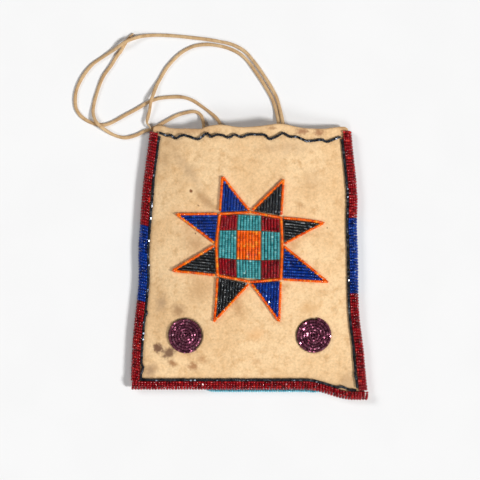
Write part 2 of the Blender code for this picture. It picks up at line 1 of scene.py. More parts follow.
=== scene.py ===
# Beaded flat bag: hide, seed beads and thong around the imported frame
import math
import random

import bpy
import numpy as np
from mathutils import Matrix, Vector, noise


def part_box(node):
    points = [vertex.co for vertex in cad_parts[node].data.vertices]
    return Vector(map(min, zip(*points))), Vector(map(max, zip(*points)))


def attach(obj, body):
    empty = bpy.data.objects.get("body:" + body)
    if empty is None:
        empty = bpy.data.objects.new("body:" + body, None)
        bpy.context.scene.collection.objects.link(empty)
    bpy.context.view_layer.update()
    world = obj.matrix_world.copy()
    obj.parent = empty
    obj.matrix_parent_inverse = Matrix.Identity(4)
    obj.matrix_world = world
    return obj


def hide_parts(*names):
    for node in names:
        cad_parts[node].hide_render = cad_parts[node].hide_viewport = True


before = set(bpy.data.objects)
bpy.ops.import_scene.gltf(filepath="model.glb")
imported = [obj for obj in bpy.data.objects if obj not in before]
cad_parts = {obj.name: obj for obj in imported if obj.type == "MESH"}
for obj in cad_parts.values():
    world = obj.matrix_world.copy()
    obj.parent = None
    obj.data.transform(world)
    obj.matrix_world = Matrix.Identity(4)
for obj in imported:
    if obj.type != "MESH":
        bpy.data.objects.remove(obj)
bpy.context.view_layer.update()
mm = 0.001

# The bag's outline and levels, as the frame has them
bag = {
    "length": 182.4 * mm,
    "topWidth": 133.2 * mm,
    "topShift": 1.0 * mm,
    "bottomWidth": 158.2 * mm,
    "leftBow": ((0, 0), (0.27, 2.0 * mm), (0.43, 1.8 * mm), (0.58, 0), (0.78, 1.0 * mm), (1, 0)),
    "rightBow": ((0, 0), (0.25, 1.4 * mm), (0.40, -0.4 * mm), (0.68, -2.3 * mm), (0.85, -0.7 * mm), (1, 0)),
    "droop": 6.8 * mm,  # the bottom edge drops towards its right corner
    "droopReach": 42.0 * mm,
    "droopRun": 32.0 * mm,
    "seamTop": 4.9 * mm,  # top of the front hide under the edging
    "backTop": 3.4 * mm,  # top of the back hide
    "hideThickness": 1.2 * mm,
    "hideInset": 2.4 * mm,  # the hides end inside the rolled edging
    "flatBand": 6.4 * mm,
    "loft": 7.2 * mm,
    "loftRise": 62.0 * mm,
    "loftPower": 2.6,
}


def smoothStep(share):
    share = min(max(share, 0.0), 1.0)
    return share * share * (3.0 - 2.0 * share)


def smoothRun(points, share):  # eased from one (share, value) pair to the next
    for (start, low), (end, high) in zip(points, points[1:]):
        if share <= end:
            return low + (high - low) * smoothStep((share - start) / (end - start))
    return points[-1][1]


def mix(a, b, share):
    return a + (b - a) * share


def sideX(side, y):  # side is -1 on the left and 1 on the right
    share = 0.5 - y / bag["length"]
    half = mix(bag["topWidth"], bag["bottomWidth"], share) / 2
    bow = smoothRun(bag["leftBow"] if side < 0 else bag["rightBow"], share)
    return bag["topShift"] * (1.0 - share) + side * (half + bow)


def bottomY(x):
    share = (x - bag["bottomWidth"] / 2 + bag["droopReach"]) / bag["droopRun"]
    return -bag["length"] / 2 + bag["droop"] * (1.0 - smoothStep(share))


def pocketLoft(x, y):
    left = sideX(-1, y) + bag["flatBand"]
    right = sideX(1, y) - bag["flatBand"]
    across = min(abs(2 * x - left - right) / (right - left), 1.0)
    up = min(max((y - bottomY(x) - bag["flatBand"]) / bag["loftRise"], 0.0), 1.0)
    return bag["loft"] * (1.0 - across ** bag["loftPower"]) * (1.0 - (1.0 - up) ** 2.2)


# Curves through listed points

def smoothPath(points, steps):  # dense Catmull-Rom curve
    points = [Vector(point) for point in points]
    points = [points[0] * 2 - points[1]] + points + [points[-1] * 2 - points[-2]]
    path = []
    for a, b, c, d in zip(points, points[1:], points[2:], points[3:]):
        for i in range(steps):
            t = i / steps
            path.append(0.5 * (
                2 * b + (c - a) * t + (2 * a - 5 * b + 4 * c - d) * t ** 2 + (3 * b - a - 3 * c + d) * t ** 3
            ))
    path.append(points[-2])
    return path


def pathLength(path):
    return sum((b - a).length for a, b in zip(path, path[1:]))


def evenPoints(path, count):  # points at even spacing from start to end
    reach = [0.0]
    for a, b in zip(path, path[1:]):
        reach.append(reach[-1] + (b - a).length)
    picked = []
    j = 0
    for i in range(count):
        goal = reach[-1] * i / (count - 1)
        while j < len(path) - 2 and reach[j + 1] < goal:
            j += 1
        share = (goal - reach[j]) / max(reach[j + 1] - reach[j], 1e-9)
        picked.append(path[j].lerp(path[j + 1], min(share, 1.0)))
    return picked


# Camera, straight above the middle of the picture
view = {
    "middle": (-5.94 * mm, 14.85 * mm),
    "level": 6.0 * mm,
    "height": 0.95,
    "width": 316.8 * mm,  # what the picture takes in at that level
}


def makeCamera():
    data = bpy.data.cameras.new("camera")
    data.sensor_width = 36.0
    data.lens = data.sensor_width * view["height"] / view["width"]
    data.clip_start = 0.01
    data.clip_end = 20.0
    camera = bpy.data.objects.new("camera", data)
    camera.location = (*view["middle"], view["level"] + view["height"])
    bpy.context.scene.collection.objects.link(camera)
    bpy.context.scene.camera = camera


makeCamera()
print("camera placed")


# Shader helpers

def fromScreen(red, green, blue):  # a colour as seen on screen, 0 to 255, made linear
    linear = []
    for value in (red, green, blue):
        share = value / 255
        linear.append(share / 12.92 if share <= 0.04045 else ((share + 0.055) / 1.055) ** 2.4)
    return (*linear, 1.0)


def put(tree, kind, inputs=None, **settings):  # adds a node, with values or links for its inputs
    node = tree.nodes.new("ShaderNode" + kind)
    for key, value in settings.items():
        setattr(node, key, value)
    for key, value in (inputs or {}).items():
        if isinstance(value, bpy.types.NodeSocket):
            tree.links.new(value, node.inputs[key])
        else:
            node.inputs[key].default_value = value
    return node


def calc(tree, operation, *values, clamp=False):
    node = tree.nodes.new("ShaderNodeMath")
    node.operation = operation
    node.use_clamp = clamp
    for socket, value in zip(node.inputs, values):
        if isinstance(value, bpy.types.NodeSocket):
            tree.links.new(value, socket)
        else:
            socket.default_value = value
    return node.outputs[0]


def blend(tree, share, a, b, mode="MIX"):  # two colours mixed
    node = tree.nodes.new("ShaderNodeMix")
    node.data_type = "RGBA"
    node.blend_type = mode
    for index, value in ((0, share), (6, a), (7, b)):
        if isinstance(value, bpy.types.NodeSocket):
            tree.links.new(value, node.inputs[index])
        else:
            node.inputs[index].default_value = value
    return node.outputs[2]


def remap(tree, value, low, high, outLow=0.0, outHigh=1.0):
    node = put(tree, "MapRange", {
        "Value": value, "From Min": low, "From Max": high, "To Min": outLow, "To Max": outHigh,
    }, interpolation_type="SMOOTHSTEP")
    return node.outputs["Result"]


def newGroup(name, inputs, outputs):  # inputs and outputs as (name, kind, value)
    group = bpy.data.node_groups.new(name, "ShaderNodeTree")
    for label, kind, value in inputs:
        socket = group.interface.new_socket(name=label, in_out="INPUT", socket_type="NodeSocket" + kind)
        if value is not None:
            socket.default_value = value
    for label, kind in outputs:
        group.interface.new_socket(name=label, in_out="OUTPUT", socket_type="NodeSocket" + kind)
    entry = group.nodes.new("NodeGroupInput")
    leave = group.nodes.new("NodeGroupOutput")
    return group, entry.outputs, leave.inputs


def place(tree, group, inputs=None):
    node = tree.nodes.new("ShaderNodeGroup")
    node.node_tree = group
    for key, value in (inputs or {}).items():
        if isinstance(value, bpy.types.NodeSocket):
            tree.links.new(value, node.inputs[key])
        else:
            node.inputs[key].default_value = value
    return node.outputs


def newMaterial(name):
    material = bpy.data.materials.new(name)
    material.use_nodes = True
    tree = material.node_tree
    return material, tree, tree.nodes["Principled BSDF"]


def millimetres(tree):  # object coordinates in millimetres
    coords = put(tree, "TexCoord")
    scaled = put(tree, "VectorMath", {0: coords.outputs["Object"], "Scale": 1000.0}, operation="SCALE")
    return scaled.outputs[0]


# Effects shared by the materials

def makeBeadTone():  # each bead its own depth of colour
    group, entry, leave = newGroup(
        "beadTone",
        [("Deep", "Color", (0.1, 0.1, 0.1, 1)), ("Body", "Color", (0.3, 0.3, 0.3, 1)),
         ("Bright", "Color", (0.6, 0.6, 0.6, 1)), ("Deep Share", "Float", 0.3), ("Bright Share", "Float", 0.1),
         ("Smooth Roughness", "Float", 0.12), ("Worn Roughness", "Float", 0.4)],
        [("Color", "Color"), ("Roughness", "Float")],
    )
    tone = put(group, "Attribute", attribute_name="tone").outputs["Fac"]
    other = put(group, "TexWhiteNoise", {"W": calc(group, "MULTIPLY", tone, 977.0)}, noise_dimensions="1D")
    deep = calc(group, "DIVIDE", calc(group, "SUBTRACT", entry["Deep Share"], tone), entry["Deep Share"], clamp=True)
    high = calc(group, "SUBTRACT", tone, calc(group, "SUBTRACT", 1.0, entry["Bright Share"]))
    bright = calc(group, "DIVIDE", high, calc(group, "MAXIMUM", entry["Bright Share"], 0.001), clamp=True)
    colour = blend(group, deep, entry["Body"], entry["Deep"])
    colour = blend(group, bright, colour, entry["Bright"])
    shade = remap(group, other.outputs["Value"], 0.0, 1.0, 0.86, 1.12)
    colour = blend(group, 1.0, colour, shade, "MULTIPLY")
    group.links.new(colour, leave["Color"])
    worn = calc(group, "POWER", other.outputs["Value"], 3.0)
    rough = put(group, "MapRange", {
        "Value": worn, "To Min": entry["Smooth Roughness"], "To Max": entry["Worn Roughness"],
    })
    group.links.new(rough.outputs["Result"], leave["Roughness"])
    return group


def makeHandledFilm():  # faint dust and skin oil that gathers in patches
    group, entry, leave = newGroup(
        "handledFilm",
        [("Color", "Color", (0.5, 0.5, 0.5, 1)), ("Roughness", "Float", 0.2), ("Place", "Vector", None),
         ("Film", "Color", (0.5, 0.42, 0.32, 1)), ("Amount", "Float", 0.1), ("Patch Size", "Float", 4.0)],
        [("Color", "Color"), ("Roughness", "Float")],
    )
    size = calc(group, "DIVIDE", 1.0, entry["Patch Size"])
    cloud = put(group, "TexNoise", {"Vector": entry["Place"], "Scale": size, "Detail": 3.0, "Roughness": 0.6})
    mask = remap(group, cloud.outputs["Fac"], 0.42, 0.72)
    share = calc(group, "MULTIPLY", mask, entry["Amount"], clamp=True)
    group.links.new(blend(group, share, entry["Color"], entry["Film"]), leave["Color"])
    rough = calc(group, "ADD", entry["Roughness"], calc(group, "MULTIPLY", share, 0.5), clamp=True)
    group.links.new(rough, leave["Roughness"])
    return group


def makeHideNap():  # short suede nap, with fibres brushed in drifting directions
    group, entry, leave = newGroup(
        "hideNap",
        [("Place", "Vector", None), ("Nap Size", "Float", 0.5), ("Fibre Stretch", "Float", 3.0),
         ("Pore Size", "Float", 1.6)],
        [("Height", "Float"), ("Tint", "Float"), ("Pores", "Float")],
    )
    squeeze = put(group, "CombineXYZ", {"X": calc(group, "DIVIDE", 1.0, entry["Fibre Stretch"]), "Y": 1.0, "Z": 1.0})
    scale = calc(group, "DIVIDE", 1.0, entry["Nap Size"])
    brushed = []
    for turn in (35.0, -52.0):  # two ways that the nap was brushed
        turned = put(group, "VectorRotate", {"Vector": entry["Place"], "Angle": math.radians(turn)},
                     rotation_type="Z_AXIS")
        fibres = put(group, "VectorMath", {0: turned.outputs[0], 1: squeeze.outputs[0]}, operation="MULTIPLY")
        strands = put(group, "TexNoise", {
            "Vector": fibres.outputs[0], "Scale": scale, "Detail": 4.0, "Roughness": 0.68, "Distortion": 0.25,
        })
        brushed.append(strands.outputs["Fac"])
    drift = put(group, "TexNoise", {"Vector": entry["Place"], "Scale": 0.12, "Detail": 2.0})
    way = remap(group, drift.outputs["Fac"], 0.44, 0.56)
    fine = calc(group, "ADD", calc(group, "MULTIPLY", brushed[0], way),
                calc(group, "MULTIPLY", brushed[1], calc(group, "SUBTRACT", 1.0, way)))
    soft = put(group, "TexNoise", {
        "Vector": entry["Place"], "Scale": calc(group, "DIVIDE", 0.33, entry["Nap Size"]), "Detail": 3.0,
    })
    pores = put(group, "TexVoronoi", {
        "Vector": entry["Place"], "Scale": calc(group, "DIVIDE", 1.0, entry["Pore Size"]),
    })
    pit = remap(group, pores.outputs["Distance"], 0.0, 0.35, 1.0, 0.0)
    height = calc(group, "ADD", fine, calc(group, "MULTIPLY", soft.outputs["Fac"], 0.8))
    height = calc(group, "SUBTRACT", height, calc(group, "MULTIPLY", pit, 0.25))
    group.links.new(height, leave["Height"])
    tint = calc(group, "ADD", calc(group, "MULTIPLY", fine, 0.5),
                calc(group, "MULTIPLY", soft.outputs["Fac"], 0.5))
    group.links.new(tint, leave["Tint"])
    group.links.new(pit, leave["Pores"])
    return group


def makeStainAndShadePatch():  # one ragged oval patch, 1 inside and fading to 0
    group, entry, leave = newGroup(
        "stainAndShadePatch",
        [("Place", "Vector", None), ("Centre", "Vector", (0, 0, 0)), ("Width", "Float", 5.0),
         ("Length", "Float", 5.0), ("Turn", "Float", 0.0), ("Softness", "Float", 0.6),
         ("Raggedness", "Float", 0.5), ("Grain Size", "Float", 3.0)],
        [("Mask", "Float")],
    )
    away = put(group, "VectorMath", {0: entry["Place"], 1: entry["Centre"]}, operation="SUBTRACT")
    turned = put(group, "VectorRotate", {"Vector": away.outputs[0], "Angle": entry["Turn"]}, rotation_type="Z_AXIS")
    sides = put(group, "SeparateXYZ", {0: turned.outputs[0]})
    across = calc(group, "DIVIDE", sides.outputs["X"], entry["Width"])
    along = calc(group, "DIVIDE", sides.outputs["Y"], entry["Length"])
    reach = calc(group, "SQRT", calc(group, "ADD", calc(group, "MULTIPLY", across, across),
                                     calc(group, "MULTIPLY", along, along)))
    grain = put(group, "TexNoise", {
        "Vector": entry["Place"], "Scale": calc(group, "DIVIDE", 1.0, entry["Grain Size"]), "Detail": 4.0,
        "Roughness": 0.62,
    })
    rough = calc(group, "MULTIPLY", calc(group, "SUBTRACT", grain.outputs["Fac"], 0.5), entry["Raggedness"])
    reach = calc(group, "ADD", reach, calc(group, "MULTIPLY", rough, 2.0))
    edge = calc(group, "SUBTRACT", 1.0, entry["Softness"])
    mask = put(group, "MapRange", {
        "Value": reach, "From Min": edge, "From Max": calc(group, "ADD", 1.0, calc(group, "MULTIPLY", entry["Softness"], 0.4)),
        "To Min": 1.0, "To Max": 0.0,
    }, interpolation_type="SMOOTHSTEP")
    group.links.new(mask.outputs["Result"], leave["Mask"])
    return group


beadTone = makeBeadTone()
handledFilm = makeHandledFilm()
hideNap = makeHideNap()
stainAndShadePatch = makeStainAndShadePatch()
print("shared effects made")


# Glass of the beads: screen colours, and how shiny and how uneven
glass = {
    "red": {"deep": (86, 8, 16), "body": (150, 16, 26), "bright": (214, 52, 44), "brightShare": 0.08},
    "burgundy": {"deep": (84, 4, 14), "body": (146, 10, 24), "bright": (206, 24, 34), "brightShare": 0.10},
    "cobalt": {"deep": (4, 26, 84), "body": (8, 52, 142), "bright": (38, 96, 190), "brightShare": 0.06},
    "turquoise": {"deep": (26, 118, 124), "body": (74, 160, 164), "bright": (146, 204, 202), "brightShare": 0.08},
    "orange": {"deep": (214, 64, 2), "body": (250, 104, 8), "bright": (255, 160, 44), "brightShare": 0.16},
    "black": {"deep": (8, 10, 14), "body": (22, 26, 30), "bright": (70, 80, 88), "brightShare": 0.08, "ior": 1.75},
    "light_blue": {"deep": (78, 164, 188), "body": (118, 198, 216), "bright": (170, 222, 230), "brightShare": 0.08},
    "gunmetal": {"deep": (34, 38, 46), "body": (66, 72, 82), "bright": (122, 130, 138), "brightShare": 0.12,
                 "metal": 0.75, "smooth": 0.14, "worn": 0.36, "film": 0.08},
    "mauve": {"deep": (84, 36, 58), "body": (138, 74, 98), "bright": (196, 140, 160), "brightShare": 0.14,
              "metal": 0.70, "smooth": 0.16, "worn": 0.36, "film": 0.05},
}


def makeGlass(name):
    look = glass[name]
    material, tree, shader = newMaterial(name + "Glass")
    tone = place(tree, beadTone, {
        "Deep": fromScreen(*look["deep"]),
        "Body": fromScreen(*look["body"]),
        "Bright": fromScreen(*look["bright"]),
        "Deep Share": look.get("deepShare", 0.35),
        "Bright Share": look["brightShare"],
        "Smooth Roughness": look.get("smooth", 0.06),
        "Worn Roughness": look.get("worn", 0.24),
    })
    film = place(tree, handledFilm, {
        "Color": tone["Color"],
        "Roughness": tone["Roughness"],
        "Place": millimetres(tree),
        "Film": fromScreen(176, 150, 122),
        "Amount": look.get("film", 0.02),
        "Patch Size": 3.2,
    })
    tree.links.new(film["Color"], shader.inputs["Base Color"])
    tree.links.new(film["Roughness"], shader.inputs["Roughness"])
    shader.inputs["Metallic"].default_value = look.get("metal", 0.0)
    shader.inputs["IOR"].default_value = look.get("ior", 1.40)
    ripple = put(tree, "TexNoise", {"Vector": millimetres(tree), "Scale": 1.1, "Detail": 2.0})
    bump = put(tree, "Bump", {"Height": ripple.outputs["Fac"], "Strength": 0.35, "Distance": 0.0001})
    tree.links.new(bump.outputs["Normal"], shader.inputs["Normal"])
    return material


glassOf = {name: makeGlass(name) for name in glass}


# Hide: screen colours, the nap, and each stain and each patch of painted shade by its place in millimetres
hideLook = {
    "pale": (244, 208, 160),
    "body": (234, 194, 144),
    "dark": (214, 170, 118),
    # colour of the painted shade below and between the beads
    "beadShadeColour": (58, 40, 30),
    "napBump": 0.5,
    "napDepth": 0.0002,
}
# centre, half width, half length, turn in degrees, colour, strength, softness, raggedness, grain
faceStainsAndShade = {
    # painted shade darkening the hide along the creases
    "creasePaintedShade": ((-41.0, 62.0), 4.2, 20.0, -38, (178, 146, 112), 0.42, 1.0, 0.5, 5.0),
    "creasePaintedShadeLow": ((-56.0, 68.0), 5.0, 8.0, -20, (176, 136, 92), 0.40, 1.0, 0.7, 4.0),
    "starCreasePaintedShade": ((-29.0, 41.0), 3.4, 12.0, -46, (158, 116, 76), 0.55, 1.0, 0.6, 4.0),
    # painted shadow beside the star's left points
    "leftStarPaintedShadow": ((-38.0, 18.0), 9.0, 12.0, 10, (186, 142, 98), 0.40, 1.0, 0.8, 5.0),
    "leftNotch": ((-34.0, 12.0), 7.0, 5.0, 0, (176, 128, 84), 0.45, 1.0, 0.8, 3.0),
    "rightNotch": ((29.5, 11.0), 4.0, 3.0, 0, (190, 142, 94), 0.50, 1.0, 0.6, 2.0),
    "greyPatch": ((-57.5, -27.0), 4.0, 7.5, 8, (150, 118, 90), 0.50, 1.0, 0.8, 3.5),
    "brownPatch": ((-46.5, -31.5), 5.5, 4.5, 20, (140, 96, 58), 0.60, 0.9, 0.9, 3.0),
    "lowStarCloud": ((-33.0, -18.0), 8.0, 11.0, 15, (182, 136, 88), 0.45, 1.0, 0.8, 5.0),
    "smear": ((-7.5, -29.0), 4.5, 8.0, -30, (176, 126, 76), 0.60, 1.0, 0.9, 3.0),
    "rosetteHalo": ((-42.0, -48.0), 17.0, 15.0, 0, (190, 146, 96), 0.30, 0.8, 0.7, 5.0),
    "blotchLeft": ((-60.0, -56.5), 3.6, 3.4, 20, (94, 50, 36), 0.85, 0.55, 0.8, 1.8),
    "blotchRight": ((-53.0, -59.5), 5.2, 3.8, -35, (88, 48, 36), 0.80, 0.6, 0.8, 2.2),
    "blotchLow": ((-50.5, -66.5), 3.4, 2.4, 30, (138, 84, 44), 0.65, 0.8, 0.9, 2.0),
    "rustSpot": ((-37.0, -68.5), 4.2, 3.0, 15, (146, 84, 36), 0.70, 0.8, 1.0, 2.0),
    "rustTrail": ((-31.5, -63.5), 4.0, 2.4, 40, (166, 108, 58), 0.50, 1.0, 1.0, 2.0),
    "midRust": ((5.0, -65.5), 4.2, 2.6, 0, (186, 132, 78), 0.45, 1.0, 1.0, 2.0),
    "midGlow": ((5.0, -47.0), 6.5, 5.0, 0, (226, 166, 104), 0.40, 1.0, 0.8, 4.0),
    "leftCorner": ((-65.0, -71.5), 4.5, 5.5, 35, (132, 98, 74), 0.60, 1.0, 0.6, 2.5),
    "rightCorner": ((65.0, -78.0), 6.0, 7.0, 10, (168, 132, 96), 0.45, 1.0, 0.8, 3.0),
    "overRosette": ((40.0, -30.0), 8.0, 5.0, -20, (206, 156, 98), 0.50, 1.0, 0.8, 4.0),
    "underPoint": ((24.0, -15.5), 5.0, 2.6, 0, (184, 136, 90), 0.45, 1.0, 0.9, 2.0),
    # painted shade below the mouth and on the upper right
    "topPaintedShade": ((26.0, 76.0), 18.0, 6.0, 0, (186, 152, 116), 0.40, 1.0, 0.8, 5.0),
    "topLeftPaintedShade": ((-50.0, 79.0), 12.0, 4.5, 0, (196, 156, 112), 0.40, 1.0, 0.8, 4.0),
    "rightPaintedShade": ((42.0, 54.0), 8.0, 12.0, 20, (198, 160, 118), 0.35, 1.0, 0.8, 5.0),
    "smallSpots": ((34.0, 37.5), 3.2, 2.4, 0, (176, 130, 84), 0.55, 1.0, 1.2, 1.2),
    "burnHalo": ((-38.2, 47.0), 3.6, 3.4, 0, (248, 214, 166), 0.55, 0.7, 0.3, 2.0),
    "burnSpot": ((-38.2, 47.0), 1.35, 1.25, 0, (122, 66, 30), 0.92, 0.55, 0.5, 0.9),
    "speckLeft": ((-35.2, 19.2), 0.55, 0.7, 0, (92, 58, 36), 0.8, 0.6, 0.4, 0.6),
    "speckUpper": ((-33.3, 37.5), 0.9, 0.5, 30, (110, 72, 46), 0.7, 0.6, 0.4, 0.6),
    "speckRight": ((51.5, 22.8), 0.5, 0.45, 0, (64, 44, 34), 0.85, 0.5, 0.4, 0.6),
    "hemWornLeft": ((-38.0, 86.6), 14.0, 2.6, 0, (170, 120, 76), 0.55, 1.0, 0.9, 1.6),
    "hemWornMiddle": ((15.0, 88.2), 3.4, 1.2, 0, (150, 98, 58), 0.60, 0.8, 0.8, 1.2),
    "hemWornRight": ((35.0, 86.2), 5.0, 2.4, 0, (142, 84, 50), 0.75, 0.8, 1.0, 1.4),
    "hemWornEnd": ((46.0, 85.6), 4.0, 2.8, 0, (146, 88, 52), 0.75, 0.8, 1.0, 1.4),
}


def hideColours(tree, spot, nap, look):  # mottled hide without its stains and painted shade patches
    broad = put(tree, "TexNoise", {"Vector": spot, "Scale": 0.045, "Detail": 4.0, "Roughness": 0.55})
    patch = put(tree, "TexNoise", {"Vector": spot, "Scale": 0.19, "Detail": 5.0, "Roughness": 0.66})
    colour = blend(tree, remap(tree, broad.outputs["Fac"], 0.35, 0.65), fromScreen(*look["body"]), fromScreen(*look["pale"]))
    colour = blend(tree, remap(tree, patch.outputs["Fac"], 0.44, 0.80), colour, fromScreen(*look["dark"]))
    grime = put(tree, "TexNoise", {"Vector": spot, "Scale": 0.62, "Detail": 5.0, "Roughness": 0.72})
    shade = calc(tree, "MULTIPLY", remap(tree, nap["Tint"], 0.3, 0.7, 0.90, 1.07),
                 remap(tree, grime.outputs["Fac"], 0.30, 0.66, 0.86, 1.04))
    return blend(tree, 1.0, colour, shade, "MULTIPLY")


def makeHide(name, look, stainsAndShade):
    material, tree, shader = newMaterial(name)
    spot = millimetres(tree)
    nap = place(tree, hideNap, {"Place": spot})
    colour = hideColours(tree, spot, nap, look)
    for centre, width, length, turn, tint, strength, softness, ragged, grain in stainsAndShade.values():
        patch = place(tree, stainAndShadePatch, {
            "Place": spot, "Centre": (*centre, 0.0), "Width": width, "Length": length,
            "Turn": math.radians(turn), "Softness": softness, "Raggedness": ragged, "Grain Size": grain,
        })
        share = calc(tree, "MULTIPLY", patch["Mask"], strength)
        colour = blend(tree, share, colour, fromScreen(*tint))
    # rim darkening: painted shade beside the edging and down the thong's sides, handled darker along the hem
    rimShadeAndWear = put(tree, "Attribute", attribute_name="rimShadeAndWear").outputs["Fac"]
    colour = blend(tree, calc(tree, "MULTIPLY", rimShadeAndWear, 0.45), colour, fromScreen(176, 132, 88))
    # painted shade: the hide below and between the beads turns dark
    beadShade = put(tree, "Attribute", attribute_name="beadShade").outputs["Fac"]
    colour = blend(tree, beadShade, colour, fromScreen(*look["beadShadeColour"]))
    tree.links.new(colour, shader.inputs["Base Color"])
    shader.inputs["Roughness"].default_value = 0.95
    shader.inputs["Specular IOR Level"].default_value = 0.25
    shader.inputs["Sheen Weight"].default_value = 0.15
    shader.inputs["Sheen Roughness"].default_value = 0.5
    bump = put(tree, "Bump", {"Height": nap["Height"], "Strength": look["napBump"], "Distance": look["napDepth"]})
    tree.links.new(bump.outputs["Normal"], shader.inputs["Normal"])
    return material


faceHide = makeHide("faceHide", hideLook, faceStainsAndShade)
backHide = makeHide("backHide", hideLook, {})
print("hide and glass made")


def addMesh(name, verts, faces, material, nodes, smooth=True):
    mesh = bpy.data.meshes.new(name)
    mesh.from_pydata([tuple(v) for v in verts], [], faces)
    mesh.validate()
    if smooth:
        mesh.shade_smooth()
    mesh.materials.append(material)
    piece = bpy.data.objects.new(name, mesh)
    bpy.context.scene.collection.objects.link(piece)
    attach(piece, "root")
    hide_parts(*nodes)
    return piece


def setAttribute(piece, name, values):
    made = piece.data.attributes.new(name, "FLOAT", "POINT")
    made.data.foreach_set("value", np.asarray(values, dtype=np.float32))


# Ground plans of the frame's nodes

def footprint(node):  # hull of a node seen from above, anticlockwise
    points = sorted({(round(v.co.x, 6), round(v.co.y, 6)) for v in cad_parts[node].data.vertices})
    hull = []
    for run in (points, points[::-1]):
        side = []
        for p in run:
            while len(side) > 1:
                a, b = side[-2], side[-1]
                if (b[0] - a[0]) * (p[1] - a[1]) - (b[1] - a[1]) * (p[0] - a[0]) > 1e-12:
                    break
                side.pop()
            side.append(p)
        hull += side[:-1]
    return [Vector(p) for p in hull]


def insideBy(hull, spot):  # how far inside the hull a place is, below 0 outside
    depth = 1e9
    for a, b in zip(hull, hull[1:] + hull[:1]):
        edge = (b - a).normalized()
        depth = min(depth, Vector((-edge.y, edge.x)).dot(spot - a))
    return depth


# Front hide: hem by its points, creases as soft valleys
face = {
    "columns": 150,
    "rows": 176,
    "hem": (
        (-64.6, 88.4), (-62.2, 90.0), (-58.1, 90.6), (-51.0, 88.6), (-40.0, 88.2), (-31.5, 88.0), (-28.4, 89.3),
        (-18.8, 90.6), (-5.9, 89.0), (7.1, 89.7), (18.1, 91.2), (23.8, 90.9), (35.1, 88.6), (48.4, 88.2),
        (57.2, 89.3), (62.9, 89.7), (65.6, 88.3),
    ),
    # from, to, half width, depth
    "creases": (
        ((-30.0, 76.0), (-50.0, 52.0), 3.4, 0.42),
        ((-22.0, 46.0), (-35.0, 33.0), 2.4, 0.35),
        ((-56.0, 76.0), (-64.0, 58.0), 3.0, 0.30),
        ((-44.0, 24.0), (-30.0, 10.0), 3.0, 0.25),
        ((24.0, -54.0), (50.0, -62.0), 1.6, 0.20),
        ((28.0, -60.0), (56.0, -69.0), 1.5, 0.18),
        ((10.0, 66.0), (34.0, 60.0), 4.0, 0.22),
        ((-62.0, -62.0), (-50.0, -76.0), 2.2, 0.25),
        ((56.0, -20.0), (48.0, -44.0), 3.4, 0.25),
    ),
    "waves": 0.35,
    "ripples": 0.07,
}


def lineShare(point, start, end):  # nearest share along a line, and the distance from it
    run = end - start
    share = min(max((point - start).dot(run) / run.length_squared, 0.0), 1.0)
    return share, (point - start - run * share).length


creaseLines = [
    (Vector(start) * mm, Vector(end) * mm, width * mm, depth * mm) for start, end, width, depth in face["creases"]
]


def hideRelief(x, y):  # soft waves, creases and fine ripples of the front hide
    spot = Vector((x, y, 0.0))
    height = face["waves"] * mm * noise.noise(spot * 38.0)
    height += face["waves"] * 0.5 * mm * noise.noise(spot * 90.0 + Vector((7, 3, 1)))
    height += face["ripples"] * mm * noise.noise(spot * 420.0)
    for start, end, width, depth in creaseLines:
        share, away = lineShare(Vector((x, y)), start, end)
        if away < 3 * width:
            height -= depth * math.sin(math.pi * mix(0.12, 0.88, share)) * math.exp(-(away / width) ** 2)
    return height


def edgeFade(x, y):  # 0 under the edging, 1 on the open hide
    band = bag["flatBand"]
    near = min(x - sideX(-1, y), sideX(1, y) - x, y - bottomY(x))
    return smoothStep((near - band * 0.85) / (band * 1.2))


def faceTop(x, y):  # top of the front hide
    return bag["seamTop"] + pocketLoft(x, y) + hideRelief(x, y) * edgeFade(x, y)


hemCurve = smoothPath([(x * mm, y * mm, 0.0) for x, y in face["hem"]], 8)


def hemY(x):  # the raw hem, with small nicks
    for a, b in zip(hemCurve, hemCurve[1:]):
        if x <= b.x:
            break
    share = min(max((x - a.x) / (b.x - a.x), 0.0), 1.0)
    return mix(a.y, b.y, share) + 0.22 * mm * noise.noise(Vector((x * 700, 3.0, 0.0)))


def sheetGrid(columns, rows, corner):  # grid of places, corner(u, v) giving x and y
    return [[corner(i / columns, j / rows) for i in range(columns + 1)] for j in range(rows + 1)]


def faceCorner(u, v):
    y = mix(-bag["length"] / 2, bag["length"] / 2, v)
    for _ in range(4):
        left = sideX(-1, y) + bag["hideInset"]
        right = sideX(1, y) - bag["hideInset"]
        x = mix(left, right, u)
        y = mix(bottomY(x) + bag["hideInset"], hemY(x), v)
    return x, y


def addSheet(name, places, top, thickness, rimShadeAndWear, beadShade, material, nodes):
    rows = len(places)
    columns = len(places[0])
    verts = []
    rimShadeValues = []
    beadShades = []
    for side in (0, 1):
        for j, row in enumerate(places):
            for i, (x, y) in enumerate(row):
                z = top(x, y)
                depth = thickness
                border = min(i, columns - 1 - i, j, rows - 1 - j)
                if border == 0:  # the cut edge is a little rounded
                    depth = thickness * 0.62
                    z -= thickness * 0.19
                verts.append((x, y, z - side * depth))
                rimShadeValues.append(rimShadeAndWear(x, y))
                beadShades.append(beadShade(x, y) if side == 0 else 0.0)
    count = rows * columns
    faces = []
    for j in range(rows - 1):
        for i in range(columns - 1):
            a = j * columns + i
            faces.append((a, a + 1, a + columns + 1, a + columns))
            faces.append((count + a, count + a + columns, count + a + columns + 1, count + a + 1))
    loop = [j * columns for j in range(rows - 1, 0, -1)]
    loop += list(range(columns - 1))
    loop += [j * columns + columns - 1 for j in range(rows - 1)]
    loop += [(rows - 1) * columns + i for i in range(columns - 1, 0, -1)]
    for a, b in zip(loop, loop[1:] + loop[:1]):
        faces.append((a, count + a, count + b, b))
    piece = addMesh(name, verts, faces, material, nodes)
    setAttribute(piece, "rimShadeAndWear", rimShadeValues)
    setAttribute(piece, "beadShade", beadShades)
    return piece


